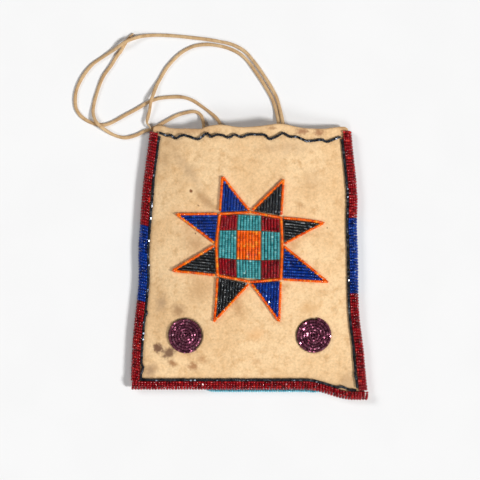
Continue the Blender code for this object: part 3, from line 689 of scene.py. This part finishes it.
def faceEdgeShadeAndHemWear(x, y):  # painted shade beside the edging, and handled darker along the hem
    near = min(x - sideX(-1, y), sideX(1, y) - x, y - bottomY(x)) - bag["flatBand"]
    side = 1.0 - smoothStep(near / (4.5 * mm))
    hem = 1.0 - smoothStep((hemY(x) - y) / (1.6 * mm))
    return min(1.0, 0.75 * side + 0.8 * hem)


fieldNodes = [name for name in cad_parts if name.startswith("check_") or name.endswith(("_point", "_rosette"))]
fieldHulls = [footprint(name) for name in fieldNodes]


def faceBeadShade(x, y):  # painted shade, 1 below a field of beads and beneath the rolled edging
    spot = Vector((x, y))
    inside = smoothStep(max(insideBy(hull, spot) for hull in fieldHulls) / (0.9 * mm))
    near = min(x - sideX(-1, y), sideX(1, y) - x, y - bottomY(x))
    rolled = smoothStep((bag["flatBand"] - near) / (1.0 * mm)) * smoothStep((0.0862 - y) / (1.0 * mm))
    return max(inside, rolled)


facePlaces = sheetGrid(face["columns"], face["rows"], faceCorner)
hideFace = addSheet(
    "hide_face", facePlaces, faceTop, bag["hideThickness"], faceEdgeShadeAndHemWear, faceBeadShade, faceHide, ["front_panel"],
)


back = {"columns": 60, "rows": 70, "top": 84.0 * mm, "waves": 0.10}


def backCorner(u, v):
    y = mix(-bag["length"] / 2, back["top"], v)
    for _ in range(4):
        left = sideX(-1, y) + bag["hideInset"]
        right = sideX(1, y) - bag["hideInset"]
        x = mix(left, right, u)
        y = mix(bottomY(x) + bag["hideInset"], back["top"] + 0.3 * mm * noise.noise(Vector((x * 300, 9.0, 0))), v)
    return x, y


def backTop(x, y):
    return bag["backTop"] - back["waves"] * mm * (0.5 + 0.5 * noise.noise(Vector((x * 60, y * 60, 5.0))))


backPlaces = sheetGrid(back["columns"], back["rows"], backCorner)
hideBack = addSheet(
    "hide_back", backPlaces, backTop, 1.1 * mm, lambda x, y: 0.4, lambda x, y: 0.0, backHide, ["back_panel"],
)
print("hides laid")


# Beads. A bead's shape runs along x; each is (share of its length, share of its radius) round the hole
beadShapes = {
    "round": {"sides": 10, "rings": ((-0.5, 0.66), (-0.38, 0.93), (0.0, 1.0), (0.38, 0.93), (0.5, 0.66)),
              "smooth": True},
    "edging": {"sides": 9, "rings": ((-0.5, 0.66), (-0.38, 0.93), (0.0, 1.0), (0.38, 0.93), (0.5, 0.66)),
               "smooth": True},
    "cut": {"sides": 7, "rings": ((-0.5, 0.74), (-0.41, 0.99), (0.41, 0.99), (0.5, 0.74)), "smooth": False},
    "plain": {"sides": 5, "rings": ((-0.5, 0.52), (0.0, 1.0), (0.5, 0.52)), "smooth": True},
}


def beadTemplate(shape):
    sides = shape["sides"]
    verts = []
    for along, radius in shape["rings"]:
        for i in range(sides):
            turn = 2 * math.pi * i / sides
            verts.append((along, radius * math.cos(turn), radius * math.sin(turn)))
    faces = []
    for ring in range(len(shape["rings"]) - 1):
        for i in range(sides):
            a = ring * sides + i
            b = ring * sides + (i + 1) % sides
            faces.append((a, b, b + sides, a + sides))
    faces.append(tuple(range(sides - 1, -1, -1)))
    last = (len(shape["rings"]) - 1) * sides
    faces.append(tuple(range(last, last + sides)))
    return np.array(verts), faces


def newBead(spot, along, up, length, width, tone, rng, tilt=3.0):  # one bead, slightly out of line
    along = along.normalized()
    up = (up - along * up.dot(along)).normalized()
    side = up.cross(along)
    sway = math.radians(rng.gauss(0, tilt))
    dip = math.radians(rng.gauss(0, tilt))
    along = (along + side * sway + up * dip).normalized()
    return spot, along, up, length, width, rng.uniform(0, math.tau), tone


def addBeads(name, beads, shapes, material, nodes):  # shapes: one shape name, or one for each bead
    if isinstance(shapes, str):
        shapes = [shapes] * len(beads)
    verts = []
    faces = []
    smooth = []
    tones = []
    count = 0
    templates = {key: beadTemplate(beadShapes[key]) for key in set(shapes)}
    for (spot, along, up, length, width, roll, tone), key in zip(beads, shapes):
        points, cells = templates[key]
        side = up.cross(along).normalized()
        lift = along.cross(side)
        turn = np.array((side * math.cos(roll) + lift * math.sin(roll)))
        rise = np.array((lift * math.cos(roll) - side * math.sin(roll)))
        made = np.array(spot) + np.outer(points[:, 0] * length, along)
        made += np.outer(points[:, 1] * width / 2, turn) + np.outer(points[:, 2] * width / 2, rise)
        verts.append(made)
        faces += [tuple(count + i for i in cell) for cell in cells]
        smooth += [beadShapes[key]["smooth"]] * len(cells)
        tones += [tone] * len(points)
        count += len(points)
    piece = addMesh(name, np.concatenate(verts), faces, material, nodes)
    piece.data.polygons.foreach_set("use_smooth", smooth)
    setAttribute(piece, "tone", tones)
    return piece


seed = {
    "length": 1.34 * mm,  # along the thread
    "width": 1.84 * mm,
    "row": 1.9 * mm,
    "lengthSpread": 0.07,
    "widthSpread": 0.035,
    "lineWidth": 1.86 * mm,  # beads of the single lines
    "lineLength": 1.30 * mm,
    "clear": 0.06 * mm,  # beads sit this far over the hide
}


def surfaceUp(x, y):  # normal of the front hide
    step = 0.6 * mm
    slopeX = (faceTop(x + step, y) - faceTop(x - step, y)) / (2 * step)
    slopeY = (faceTop(x, y + step) - faceTop(x, y - step)) / (2 * step)
    return Vector((-slopeX, -slopeY, 1.0)).normalized()


def onFace(x, y, width):  # centre of a bead lying on the front hide
    return Vector((x, y, faceTop(x, y) + seed["clear"] + width / 2))


def beadLine(path, length, width, rng, wobble=0.0, tilt=4.0):  # beads strung along a path on the face
    count = max(1, round(pathLength(path) / length))
    marks = evenPoints(path, count * 2 + 1)
    beads = []
    for i in range(count):
        start, spot, end = marks[2 * i], marks[2 * i + 1], marks[2 * i + 2]
        wide = width * (1 + rng.gauss(0, seed["widthSpread"]))
        run = Vector((end.x - start.x, end.y - start.y, 0.0))
        aside = Vector((-run.y, run.x, 0.0)).normalized() * rng.gauss(0, wobble)
        x = spot.x + aside.x
        y = spot.y + aside.y
        along = onFace(end.x, end.y, wide) - onFace(start.x, start.y, wide)
        long = run.length * (1 + rng.gauss(-0.01, 0.03))
        beads.append(newBead(onFace(x, y, wide), along, surfaceUp(x, y), long, wide, rng.random(), rng, tilt))
    return beads


def chord(hull, spot, run):  # where a line through spot crosses the hull
    low, high = -1e9, 1e9
    for a, b in zip(hull, hull[1:] + hull[:1]):
        edge = b - a
        inward = Vector((-edge.y, edge.x))
        rate = inward.dot(run)
        gap = inward.dot(spot - a)
        if abs(rate) < 1e-12:
            if gap < 0:
                return None
            continue
        reach = -gap / rate
        if rate > 0:
            low = max(low, reach)
        else:
            high = min(high, reach)
    return (low, high) if high > low else None


def fieldRows(hull, run, first=None):  # rows side by side across a hull, along run
    run = run.normalized()
    across = Vector((-run.y, run.x))
    spread = [p.dot(across) for p in hull]
    low, high = min(spread), max(spread)
    count = max(1, round((high - low) / seed["row"]))
    step = (high - low) / count
    rows = []
    for i in range(count):
        reach = chord(hull, across * (low + (i + 0.5) * step), run)
        if reach:
            origin = across * (low + (i + 0.5) * step)
            rows.append((origin + run * reach[0], origin + run * reach[1]))
    return rows, step


def fieldBeads(rows, rowWidth, rng, trim=0.12 * mm):
    beads = []
    for start, end in rows:
        length = (end - start).length
        count = round((length - 2 * trim) / seed["length"])
        if length < 0.8 * seed["length"]:
            continue
        count = max(1, count)
        run = (end - start).normalized()
        path = [start + run * trim, end - run * trim]
        wave = rng.uniform(-1, 1) * 0.05 * mm
        middle = (path[0] + path[1]) / 2 + Vector((-run.y, run.x)) * wave
        path = [Vector((*p, 0.0)) for p in (path[0], middle, path[1])]
        beads += beadLine(path, pathLength(path) / count, min(seed["width"], rowWidth * 1.0), rng, 0.03 * mm)
    return beads


# Star: its ring of corners and mid-sides, and each point's tip, in millimetres
star = {
    "ring": {
        "topLeft": (-19.2, 32.0), "top": (1.0, 33.1), "topRight": (21.0, 29.5), "right": (21.8, 11.6),
        "bottomRight": (20.8, -10.8), "bottom": (0.8, -12.6), "bottomLeft": (-20.6, -8.3), "left": (-21.6, 12.0),
    },
    # corner, mid-side, tip, glass
    "points": {
        "top_left": ("topLeft", "top", (-17.3, 56.1), "cobalt"),
        "top_right": ("topRight", "top", (22.5, 54.3), "black"),
        "right_upper": ("topRight", "right", (49.1, 26.2), "black"),
        "right_lower": ("bottomRight", "right", (51.4, -12.6), "cobalt"),
        "bottom_right": ("bottomRight", "bottom", (19.6, -38.4), "cobalt"),
        "bottom_left": ("bottomLeft", "bottom", (-22.7, -38.4), "black"),
        "left_lower": ("bottomLeft", "left", (-49.8, -5.3), "black"),
        "left_upper": ("topLeft", "left", (-47.5, 31.9), "cobalt"),
    },
    "cutShare": {"cobalt": 0.16, "black": 0.34},  # beads with one flat ground on them
    "tipRound": 1.0 * mm,
}


def ringPoint(name):
    return Vector(star["ring"][name]) * mm


def roundedTip(feet, tip):  # up one side, round the tip and down the other
    arms = [(foot - tip).normalized() for foot in feet]
    near = [tip + arm * star["tipRound"] for arm in arms]
    bend = (near[0] + near[1]) * 0.25 + tip * 0.5
    return [feet[0], feet[0].lerp(near[0], 0.5), near[0], bend, near[1], feet[1].lerp(near[1], 0.5), feet[1]]


def wavered(path, rng, size):  # the sewing wanders a little
    moved = [path[0]]
    for a, b, c in zip(path, path[1:], path[2:]):
        run = (c - a).normalized()
        moved.append(b + Vector((-run.y, run.x, 0.0)) * rng.gauss(0, size))
    return moved + [path[-1]]


def makeStar():
    for name, (corner, middle, tip, colour) in star["points"].items():
        rng = random.Random("star " + name)
        feet = [ringPoint(corner), ringPoint(middle)]
        tip = Vector(tip) * mm
        hull = footprint(name + "_point")
        rows, rowWidth = fieldRows(hull, tip - feet[0])
        beads = fieldBeads(rows, rowWidth, rng)
        cut = star["cutShare"][colour]
        shapes = ["cut" if rng.random() < cut else "round" for _ in beads]
        addBeads(name + "_point_beads", beads, shapes, glassOf[colour], [name + "_point"])

        ends = [foot + (tip - foot).normalized() * 1.9 * mm for foot in feet]
        path = [Vector((*p, 0.0)) for p in roundedTip(ends, tip)]
        path = smoothPath(wavered(path, rng, 0.12 * mm), 10)
        line = beadLine(path, seed["lineLength"], seed["lineWidth"], rng, 0.05 * mm)
        addBeads(name + "_outline_beads", line, "round", glassOf["orange"], [name + "_outline"])


def makeChecks():
    rowWords = ("bottom", "middle", "top")
    columnWords = ("left", "centre", "right")
    for j, rowWord in enumerate(rowWords):
        for i, columnWord in enumerate(columnWords):
            node = f"check_{rowWord}_{columnWord}"
            colour = "orange" if i == j == 1 else ("burgundy" if (i + j) % 2 == 0 else "turquoise")
            rng = random.Random(node)
            hull = footprint(node)
            corners = [min(hull, key=lambda p: p.dot(Vector(way))) for way in ((1, 1), (-1, 1), (-1, -1), (1, -1))]
            width = ((corners[1] - corners[0]).length + (corners[2] - corners[3]).length) / 2
            count = round(width / seed["row"])
            rows = []
            for k in range(count):
                share = (k + 0.5) / count
                rows.append((corners[0].lerp(corners[1], share), corners[3].lerp(corners[2], share)))
            beads = fieldBeads(rows, width / count, rng, 0.0)
            addBeads(node + "_beads", beads, "round", glassOf[colour], [node])


def makeSquareOutline():
    rng = random.Random("square")
    path = []
    names = list(star["ring"])
    for a, b in zip(names, names[1:] + names[:1]):
        start, end = ringPoint(a), ringPoint(b)
        path += [start.lerp(end, share) for share in (0.0, 0.25, 0.5, 0.75)]
    path = [Vector((*p, 0.0)) for p in path + path[:1]]
    beads = beadLine(wavered(path, rng, 0.08 * mm), seed["lineLength"], seed["lineWidth"], rng, 0.04 * mm)
    addBeads("square_outline_beads", beads, "round", glassOf["orange"], ["square_outline"])


makeStar()
makeChecks()
makeSquareOutline()
print("star beaded")


# Rosettes: one spiral each, wound out from the middle
rosettes = {
    "left_rosette": {"middle": (-42.2, -48.4), "radius": 12.1, "turnStart": 0.6},
    "right_rosette": {"middle": (41.6, -47.9), "radius": 12.3, "turnStart": 2.2},
}
spiral = {"pitch": 1.88 * mm, "beadLength": 1.24 * mm, "beadWidth": 1.84 * mm, "start": 0.35 * mm}


def makeRosette(name, look):
    rng = random.Random(name)
    low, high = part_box(name)
    middle = Vector(((low[0] + high[0]) / 2, (low[1] + high[1]) / 2))
    outer = look["radius"] * mm - spiral["beadWidth"] / 2
    path = [Vector((*middle, 0.0))]
    turn = 0.0
    while True:
        radius = spiral["start"] + spiral["pitch"] * turn / math.tau
        if radius > outer:
            break
        angle = look["turnStart"] + turn
        wander = 0.10 * mm * noise.noise(Vector((turn * 0.9, radius * 300, 2.0)))
        path.append(Vector((
            middle.x + (radius + wander) * math.cos(angle), middle.y + (radius + wander) * math.sin(angle), 0.0,
        )))
        turn += 0.35 * mm / radius
    beads = beadLine(path, spiral["beadLength"], spiral["beadWidth"], rng, 0.05 * mm, 6.0)
    addBeads(name + "_beads", beads, "cut", glassOf["mauve"], [name])


for name, look in rosettes.items():
    makeRosette(name, look)
print("rosettes wound")


# Single lines of dark cut beads, by listed points in millimetres
darkLines = {
    "top_border_line": (
        (-60.2, 85.5), (-57.4, 85.2), (-54.2, 83.6), (-51.3, 83.9), (-48.5, 81.7), (-44.1, 83.6), (-39.7, 83.0),
        (-33.3, 81.0), (-27.7, 84.9), (-25.1, 82.4), (-21.3, 83.9), (-17.0, 83.3), (-13.1, 82.0), (-9.4, 83.9),
        (-5.0, 82.3), (0.0, 83.9), (6.9, 83.9), (10.5, 83.6), (13.7, 81.0), (19.3, 83.3), (22.5, 84.9),
        (26.9, 82.6), (31.4, 82.6), (37.0, 80.1), (40.8, 79.9), (47.7, 80.8), (51.5, 79.5), (57.2, 81.7),
        (60.4, 83.0),
    ),
    "left_border_line": (
        (-59.0, 83.3), (-59.6, 80.5), (-61.1, 75.4), (-61.9, 69.1), (-62.8, 56.4), (-63.7, 43.8), (-65.0, 28.1),
        (-65.9, 21.7), (-66.5, 8.9), (-66.3, -7.5), (-67.2, -17.0), (-67.9, -26.5), (-68.6, -30.9),
        (-67.3, -33.7), (-69.2, -37.2), (-70.0, -48.6), (-70.9, -59.9), (-71.4, -66.3), (-69.8, -69.4),
        (-72.2, -75.8), (-72.4, -78.6),
    ),
    "bottom_border_line": (
        (-71.2, -79.8), (-58.6, -78.3), (-47.3, -78.6), (-34.6, -77.6), (-22.0, -78.3), (-9.4, -78.1),
        (3.6, -77.4), (19.4, -78.6), (31.9, -78.3), (41.4, -79.3), (49.0, -81.2), (54.7, -83.1), (61.0, -81.9),
        (66.6, -84.0), (71.0, -84.2),
    ),
    "right_border_line": (
        (61.5, 81.2), (62.4, 72.2), (63.7, 62.8), (64.7, 53.3), (65.2, 40.7), (65.3, 28.1), (65.2, 12.2),
        (65.6, 5.1), (66.0, -10.7), (65.7, -20.2), (66.3, -27.1), (67.4, -39.2), (68.7, -51.8), (69.5, -64.4),
        (70.6, -69.8), (69.9, -73.6), (71.3, -79.2), (71.8, -82.6),
    ),
}
cutBead = {"length": 1.34 * mm, "width": 1.84 * mm, "clearOfEdging": 6.95 * mm}


def makeDarkLine(node, points):
    rng = random.Random(node)
    path = smoothPath([(x * mm, y * mm, 0.0) for x, y in points], 10)
    for p in path:
        p.x = min(max(p.x, sideX(-1, p.y) + cutBead["clearOfEdging"]), sideX(1, p.y) - cutBead["clearOfEdging"])
        p.y = max(p.y, bottomY(p.x) + cutBead["clearOfEdging"])
    beads = beadLine(path, cutBead["length"], cutBead["width"], rng, 0.07 * mm, 7.0)
    addBeads(node + "_beads", beads, "cut", glassOf["gunmetal"], [node])


for node, points in darkLines.items():
    makeDarkLine(node, points)
print("dark lines sewn")


# Rolled edging: rows of beads over the edge, as (distance in from the outline, height) of the bead centres
edging = {
    "section": (
        (6.0, 5.86), (4.8, 5.94), (3.4, 5.92), (2.1, 5.55), (1.25, 4.72), (0.97, 3.55), (1.25, 2.38),
        (2.1, 1.55), (3.4, 1.16), (4.8, 1.14), (6.0, 1.24),
    ),
    "beadLength": 1.34 * mm,
    "beadWidth": 1.93 * mm,
    "topInset": 4.5 * mm,
    "lowerEnd": 6.4 * mm,
    "blue": 50.0 * mm,
    "leftBlueMiddle": 0.3 * mm,
    "rightBlueMiddle": 4.3 * mm,
    "leftSlant": -0.26,  # rise of a row along the edge for each step in from the outline
    "rightSlant": 0.02,
    "bottomSlant": 0.12,
    "arch": 0.25 * mm,
}


def edgingRow(frameAt, along, section, slant, rng):  # one row, as beads round the section
    path = smoothPath([(inset * mm, z * mm, 0.0) for inset, z in section], 6)
    count = round(pathLength(path) / edging["beadLength"])
    marks = evenPoints(path, 2 * count + 1)
    wide = edging["beadWidth"] * (1 + rng.gauss(0, 0.02))
    sway = rng.gauss(0, 0.02)
    shift = rng.gauss(0, 0.03 * mm)

    def placed(mark):
        inset, z = mark.x, mark.y
        arch = edging["arch"] * math.sin(math.pi * min(inset / (6.1 * mm), 1.0))
        return frameAt(along + inset * (slant + sway) + arch + shift, inset, z)

    beads = []
    for i in range(count):
        start, spot, end = [placed(mark) for mark in marks[2 * i:2 * i + 3]]
        outward = marks[2 * i + 1] - Vector((3.2 * mm, 3.55 * mm, 0.0))
        tangent = marks[2 * i + 2] - marks[2 * i]
        normal = Vector((tangent.y, -tangent.x, 0.0))
        if normal.dot(outward) < 0:
            normal = -normal
        up = placed(marks[2 * i + 1] + normal.normalized() * 0.5 * mm) - spot
        length = (end - start).length * (1 + rng.gauss(-0.05, 0.03))
        beads.append(newBead(spot, end - start, up, length, wide * (1 + rng.gauss(0, 0.03)), rng.random(), rng, 4.0))
    return beads


def sideFrame(side):
    return lambda along, inset, z: Vector((sideX(side, along) - side * inset, along, z))


def bottomFrame(along, inset, z):
    return Vector((along, bottomY(along) + inset, z))


def makeEdging(node, frameAt, start, end, slant, colour, section):
    rng = random.Random(node)
    count = max(1, round(abs(end - start) / seed["row"]))
    beads = []
    for i in range(count):
        beads += edgingRow(frameAt, mix(start, end, (i + 0.5) / count), section, slant, rng)
    shapes = ["cut" if rng.random() < 0.10 else "edging" for _ in beads]
    addBeads(node + "_beads", beads, shapes, glassOf[colour], [node])


def makeSideEdging(side, word, blueMiddle, slant):
    top = bag["length"] / 2 - edging["topInset"]
    blueTop = blueMiddle + edging["blue"] / 2
    blueBottom = blueMiddle - edging["blue"] / 2
    end = bottomY(sideX(side, -bag["length"] / 2)) + edging["lowerEnd"]
    section = edging["section"]
    makeEdging(f"{word}_edging_upper", sideFrame(side), top, blueTop, slant, "red", section)
    makeEdging(f"{word}_edging_middle", sideFrame(side), blueTop, blueBottom, slant, "cobalt", section)
    makeEdging(f"{word}_edging_lower", sideFrame(side), blueBottom, end, slant, "red", section)


def makeBottomEdging():
    ends = [sideX(side, -bag["length"] / 2) - side * 1.0 * mm for side in (-1, 1)]
    section = [(inset, z) for inset, z in edging["section"][:6]]
    makeEdging("bottom_edging", bottomFrame, ends[0], ends[1], edging["bottomSlant"], "red", section)


makeSideEdging(-1, "left", edging["leftBlueMiddle"], edging["leftSlant"])
makeSideEdging(1, "right", edging["rightBlueMiddle"], edging["rightSlant"])
makeBottomEdging()
print("edging rolled")


# Beadwork of the reverse side: plain rows across
reverse = {
    "top": 70.2 * mm,
    "inset": 6.9 * mm,
    "tuck": 1.5 * mm,
    "lipReach": 1.8 * mm,
    "lipMiddle": 9.0 * mm,
    "lipLength": 88.0 * mm,
    "lipRun": 12.0 * mm,
    "level": 0.97 * mm,
    "beadWidth": 1.8 * mm,
    "beadLength": 1.5 * mm,
}


def reverseLip(x):
    inside = reverse["lipLength"] / 2 - abs(x - reverse["lipMiddle"])
    return (reverse["lipReach"] + reverse["tuck"]) * smoothStep(inside / reverse["lipRun"])


def makeReverse():
    rng = random.Random("reverse")
    beads = []
    low = -bag["length"] / 2 + reverse["tuck"] + seed["row"] / 2
    count = round((reverse["top"] - low) / seed["row"])
    for j in range(count + 1):
        share = j / count

        def rowY(x):  # rows follow the dropped bottom edge and level out towards the mouth
            base = bottomY(x) + reverse["tuck"] - reverseLip(x) + reverse["beadWidth"] / 2
            return mix(base, reverse["top"] - reverse["beadWidth"] / 2, share)

        middleY = rowY(0.0)
        left = sideX(-1, middleY) + reverse["inset"]
        right = sideX(1, middleY) - reverse["inset"]
        number = round((right - left) / reverse["beadLength"])
        sway = rng.gauss(0, 0.04 * mm)
        for i in range(number):
            x = mix(left, right, (i + 0.5) / number)
            y = rowY(x) + sway
            along = Vector((1.0, (rowY(x + mm) - rowY(x - mm)) / (2 * mm), 0.0))
            wide = reverse["beadWidth"] * (1 + rng.gauss(0, 0.02))
            spot = Vector((x, y, reverse["level"]))
            long = (right - left) / number * (1 + rng.gauss(-0.03, 0.02))
            beads.append(newBead(spot, along, Vector((0, 0, 1)), long, wide, rng.random(), rng, 2.0))
    addBeads("back_beadwork_beads", beads, "plain", glassOf["light_blue"], ["back_beadwork"])


makeReverse()
print("reverse beaded")


# Thong: a long strip of hide. The route is its middle line in metres, and it lies a little flatter than the cord
thong = {
    "width": 2.2 * mm,
    "thickness": 1.2 * mm,
    "drop": 0.45 * mm,
    "step": 1.1 * mm,
    "twist": 26.0,  # degrees that the strip leans either way
    "wide": ((0.285, 1.0), (0.30, 1.25), (0.315, 1.0)),
    "tip": 9.0 * mm,  # it narrows to a point over this
    "route": (
        (-0.0652, 0.0885, 0.0042), (-0.0656, 0.0897, 0.0041), (-0.0676, 0.0927, 0.0031),
        (-0.0668, 0.0969, 0.0024), (-0.0658, 0.1013, 0.0029), (-0.0649, 0.1069, 0.0037),
        (-0.0631, 0.1122, 0.0028), (-0.0613, 0.1172, 0.0017), (-0.0587, 0.1221, 0.00115),
        (-0.0541, 0.1297, 0.00115), (-0.0459, 0.1383, 0.00115), (-0.0379, 0.1429, 0.00115),
        (-0.0308, 0.1444, 0.00115), (-0.0238, 0.1443, 0.00115), (-0.0156, 0.1427, 0.00115),
        (-0.0078, 0.1395, 0.00115), (-0.0017, 0.1346, 0.00115), (0.0052, 0.1254, 0.00115),
        (0.0116, 0.1155, 0.00115), (0.0160, 0.1072, 0.00115), (0.0183, 0.0993, 0.0014),
        (0.0195, 0.0914, 0.0031), (0.0184, 0.0868, 0.0045), (0.0161, 0.0822, 0.00485),
        (0.0155, 0.0776, 0.00485), (0.0175, 0.0739, 0.00485), (0.0211, 0.0727, 0.00485),
        (0.0247, 0.0739, 0.00485), (0.0267, 0.0776, 0.00485), (0.0262, 0.0822, 0.00485),
        (0.0240, 0.0868, 0.0045), (0.0227, 0.0914, 0.0031), (0.0211, 0.0993, 0.0014),
        (0.0191, 0.1072, 0.00115), (0.0167, 0.1127, 0.00115), (0.0106, 0.1229, 0.00115),
        (0.0036, 0.1328, 0.00115), (-0.0026, 0.1399, 0.00115), (-0.0106, 0.1444, 0.00115),
        (-0.0187, 0.1464, 0.00115), (-0.0277, 0.1479, 0.00115), (-0.0389, 0.1492, 0.00115),
        (-0.0490, 0.1502, 0.00115), (-0.0581, 0.1507, 0.00115), (-0.0655, 0.1506, 0.0013),
        (-0.0716, 0.1498, 0.0021), (-0.0772, 0.1480, 0.0032), (-0.0816, 0.1460, 0.0038),
        (-0.0856, 0.1435, 0.0031), (-0.0894, 0.1409, 0.0020), (-0.0975, 0.1358, 0.00115),
        (-0.1045, 0.1307, 0.00115), (-0.1106, 0.1227, 0.00115), (-0.1146, 0.1136, 0.00115),
        (-0.1152, 0.1046, 0.00115), (-0.1129, 0.0988, 0.00115), (-0.1083, 0.0946, 0.00115),
        (-0.1024, 0.0919, 0.00115), (-0.0967, 0.0911, 0.00115), (-0.0909, 0.0928, 0.00115),
        (-0.0820, 0.0977, 0.00115), (-0.0733, 0.1024, 0.00115), (-0.0684, 0.1055, 0.00115),
        (-0.0631, 0.1078, 0.00115), (-0.0578, 0.1091, 0.00115), (-0.0508, 0.1097, 0.00115),
        (-0.0439, 0.1096, 0.00115), (-0.0375, 0.1076, 0.00115), (-0.0319, 0.1040, 0.00115),
        (-0.0264, 0.1000, 0.00115), (-0.0219, 0.0960, 0.0015), (-0.0192, 0.0918, 0.0029),
        (-0.0182, 0.0872, 0.0044), (-0.0195, 0.0827, 0.00485), (-0.0240, 0.0805, 0.00485),
        (-0.0284, 0.0827, 0.00485), (-0.0297, 0.0872, 0.0044), (-0.0303, 0.0931, 0.0027),
        (-0.0321, 0.0978, 0.0014), (-0.0357, 0.1000, 0.00115), (-0.0409, 0.0995, 0.00115),
        (-0.0480, 0.0974, 0.00115), (-0.0564, 0.0929, 0.00115), (-0.0598, 0.0909, 0.00115),
        (-0.0648, 0.0885, 0.00115), (-0.0699, 0.0868, 0.00115), (-0.0745, 0.0845, 0.00115),
        (-0.0820, 0.0827, 0.00115), (-0.0886, 0.0841, 0.0014), (-0.0941, 0.0870, 0.0026),
        (-0.0985, 0.0902, 0.0037), (-0.1007, 0.0924, 0.0037), (-0.1025, 0.0956, 0.0029),
        (-0.1034, 0.0999, 0.0016), (-0.1030, 0.1040, 0.00115), (-0.1020, 0.1086, 0.00115),
        (-0.0995, 0.1166, 0.00115), (-0.0964, 0.1238, 0.00115), (-0.0914, 0.1307, 0.00115),
        (-0.0874, 0.1373, 0.00115), (-0.0855, 0.1395, 0.00115), (-0.0835, 0.1430, 0.00115),
        (-0.0796, 0.1492, 0.00115), (-0.0766, 0.1519, 0.00115),
    ),
}


def makeThong():
    path = smoothPath([Vector(p) - Vector((0, 0, thong["drop"])) for p in thong["route"]], 10)
    total = pathLength(path)
    count = round(total / thong["step"])
    path = evenPoints(path, count + 1)
    sides = 10
    verts = []
    thongSideShade = []
    for i, spot in enumerate(path):
        before, after = path[max(i - 1, 0)], path[min(i + 1, count)]
        along = (after - before).normalized()
        flat = Vector((0, 0, 1)).cross(along).normalized()
        up = along.cross(flat)
        reach = total * i / count
        lean = math.radians(thong["twist"]) * 1.6 * noise.noise(Vector((reach * 38, 4.0, 8.0)))
        flat, up = flat * math.cos(lean) + up * math.sin(lean), up * math.cos(lean) - flat * math.sin(lean)
        taper = min(1.0, 0.25 + 0.75 * min(reach, total - reach + 0.4 * mm) / thong["tip"])
        wide = thong["width"] * (1 + 0.16 * noise.noise(Vector((reach * 90, 1.0, 0)))) * taper
        thick = thong["thickness"] * (1 + 0.12 * noise.noise(Vector((reach * 150, 6.0, 0))))
        for k in range(sides):
            turn = math.tau * (k + 0.5) / sides
            c, s = math.cos(turn), math.sin(turn)
            a = math.copysign(abs(c) ** 0.6, c) * wide / 2
            b = math.copysign(abs(s) ** 0.8, s) * thick / 2
            curl = 0.10 * thick * (a / (wide / 2)) ** 2
            rough = 0.05 * mm * noise.noise(Vector((reach * 900, k * 3.1, 0)))
            point = spot + flat * (a + math.copysign(rough, a)) + up * (b + curl)
            point.z = max(point.z, 0.02 * mm)
            verts.append(point)
            # the strip's sides take painted shade through the rim attribute
            thongSideShade.append(abs(c) ** 2)
    faces = []
    for i in range(count):
        for k in range(sides):
            a = i * sides + k
            b = i * sides + (k + 1) % sides
            faces.append((a, b, b + sides, a + sides))
    faces.append(tuple(range(sides - 1, -1, -1)))
    faces.append(tuple(range(count * sides, (count + 1) * sides)))
    piece = addMesh("thong_strip", verts, faces, thongHide, ["thong"])
    setAttribute(piece, "rimShadeAndWear", thongSideShade)
    return total


thongLook = {
    "pale": (216, 184, 140),
    "body": (196, 160, 116),
    "dark": (166, 128, 88),
    "beadShadeColour": (58, 40, 30),
    "napBump": 0.5,
    "napDepth": 0.00015,
}
thongHide = makeHide("thongHide", thongLook, {})
thongLength = makeThong()
print("thong laid,", round(thongLength, 3), "m")


# Studio: a pale floor and soft light from the right
studio = {
    "floor": (240, 240, 240),
    "sky": 0.12,
    # where each soft light stands, how far it spreads in degrees, and its share of the light on the floor
    "lights": {
        "key": ((0.86, -0.34, 0.80), 12.0, 0.62),
        "fillLeft": ((-0.80, 0.50, 0.75), 22.0, 0.20),
        "fillFront": ((0.10, -0.90, 0.80), 22.0, 0.15),
    },
}


def makeStudio():
    mesh = bpy.data.meshes.new("floor")
    reach = 3.0
    mesh.from_pydata([(-reach, -reach, 0), (reach, -reach, 0), (reach, reach, 0), (-reach, reach, 0)], [], [(0, 1, 2, 3)])
    floor = bpy.data.objects.new("floor", mesh)
    floor.location.z = -0.02 * mm
    bpy.context.scene.collection.objects.link(floor)
    material, tree, shader = newMaterial("paleFloor")
    grain = put(tree, "TexNoise", {"Vector": millimetres(tree), "Scale": 0.02, "Detail": 2.0})
    shade = remap(tree, grain.outputs["Fac"], 0.3, 0.7, 0.985, 1.0)
    tree.links.new(blend(tree, 1.0, fromScreen(*studio["floor"]), shade, "MULTIPLY"), shader.inputs["Base Color"])
    shader.inputs["Roughness"].default_value = 0.9
    shader.inputs["Specular IOR Level"].default_value = 0.1
    mesh.materials.append(material)

    world = bpy.data.worlds.new("studio")
    bpy.context.scene.world = world
    world.use_nodes = True
    background = world.node_tree.nodes["Background"]
    background.inputs["Color"].default_value = (1.0, 1.0, 1.0, 1.0)
    background.inputs["Strength"].default_value = studio["sky"]

    for name, (stand, spread, share) in studio["lights"].items():
        light = bpy.data.lights.new(name, "SUN")
        light.energy = share * math.pi / Vector(stand).normalized().z
        light.angle = math.radians(spread)
        lamp = bpy.data.objects.new(name, light)
        lamp.rotation_mode = "QUATERNION"
        lamp.rotation_quaternion = Vector(stand).to_track_quat("Z", "Y")
        lamp.location = stand
        bpy.context.scene.collection.objects.link(lamp)
    bpy.context.scene.view_settings.view_transform = "Standard"


makeStudio()
print("studio lit")
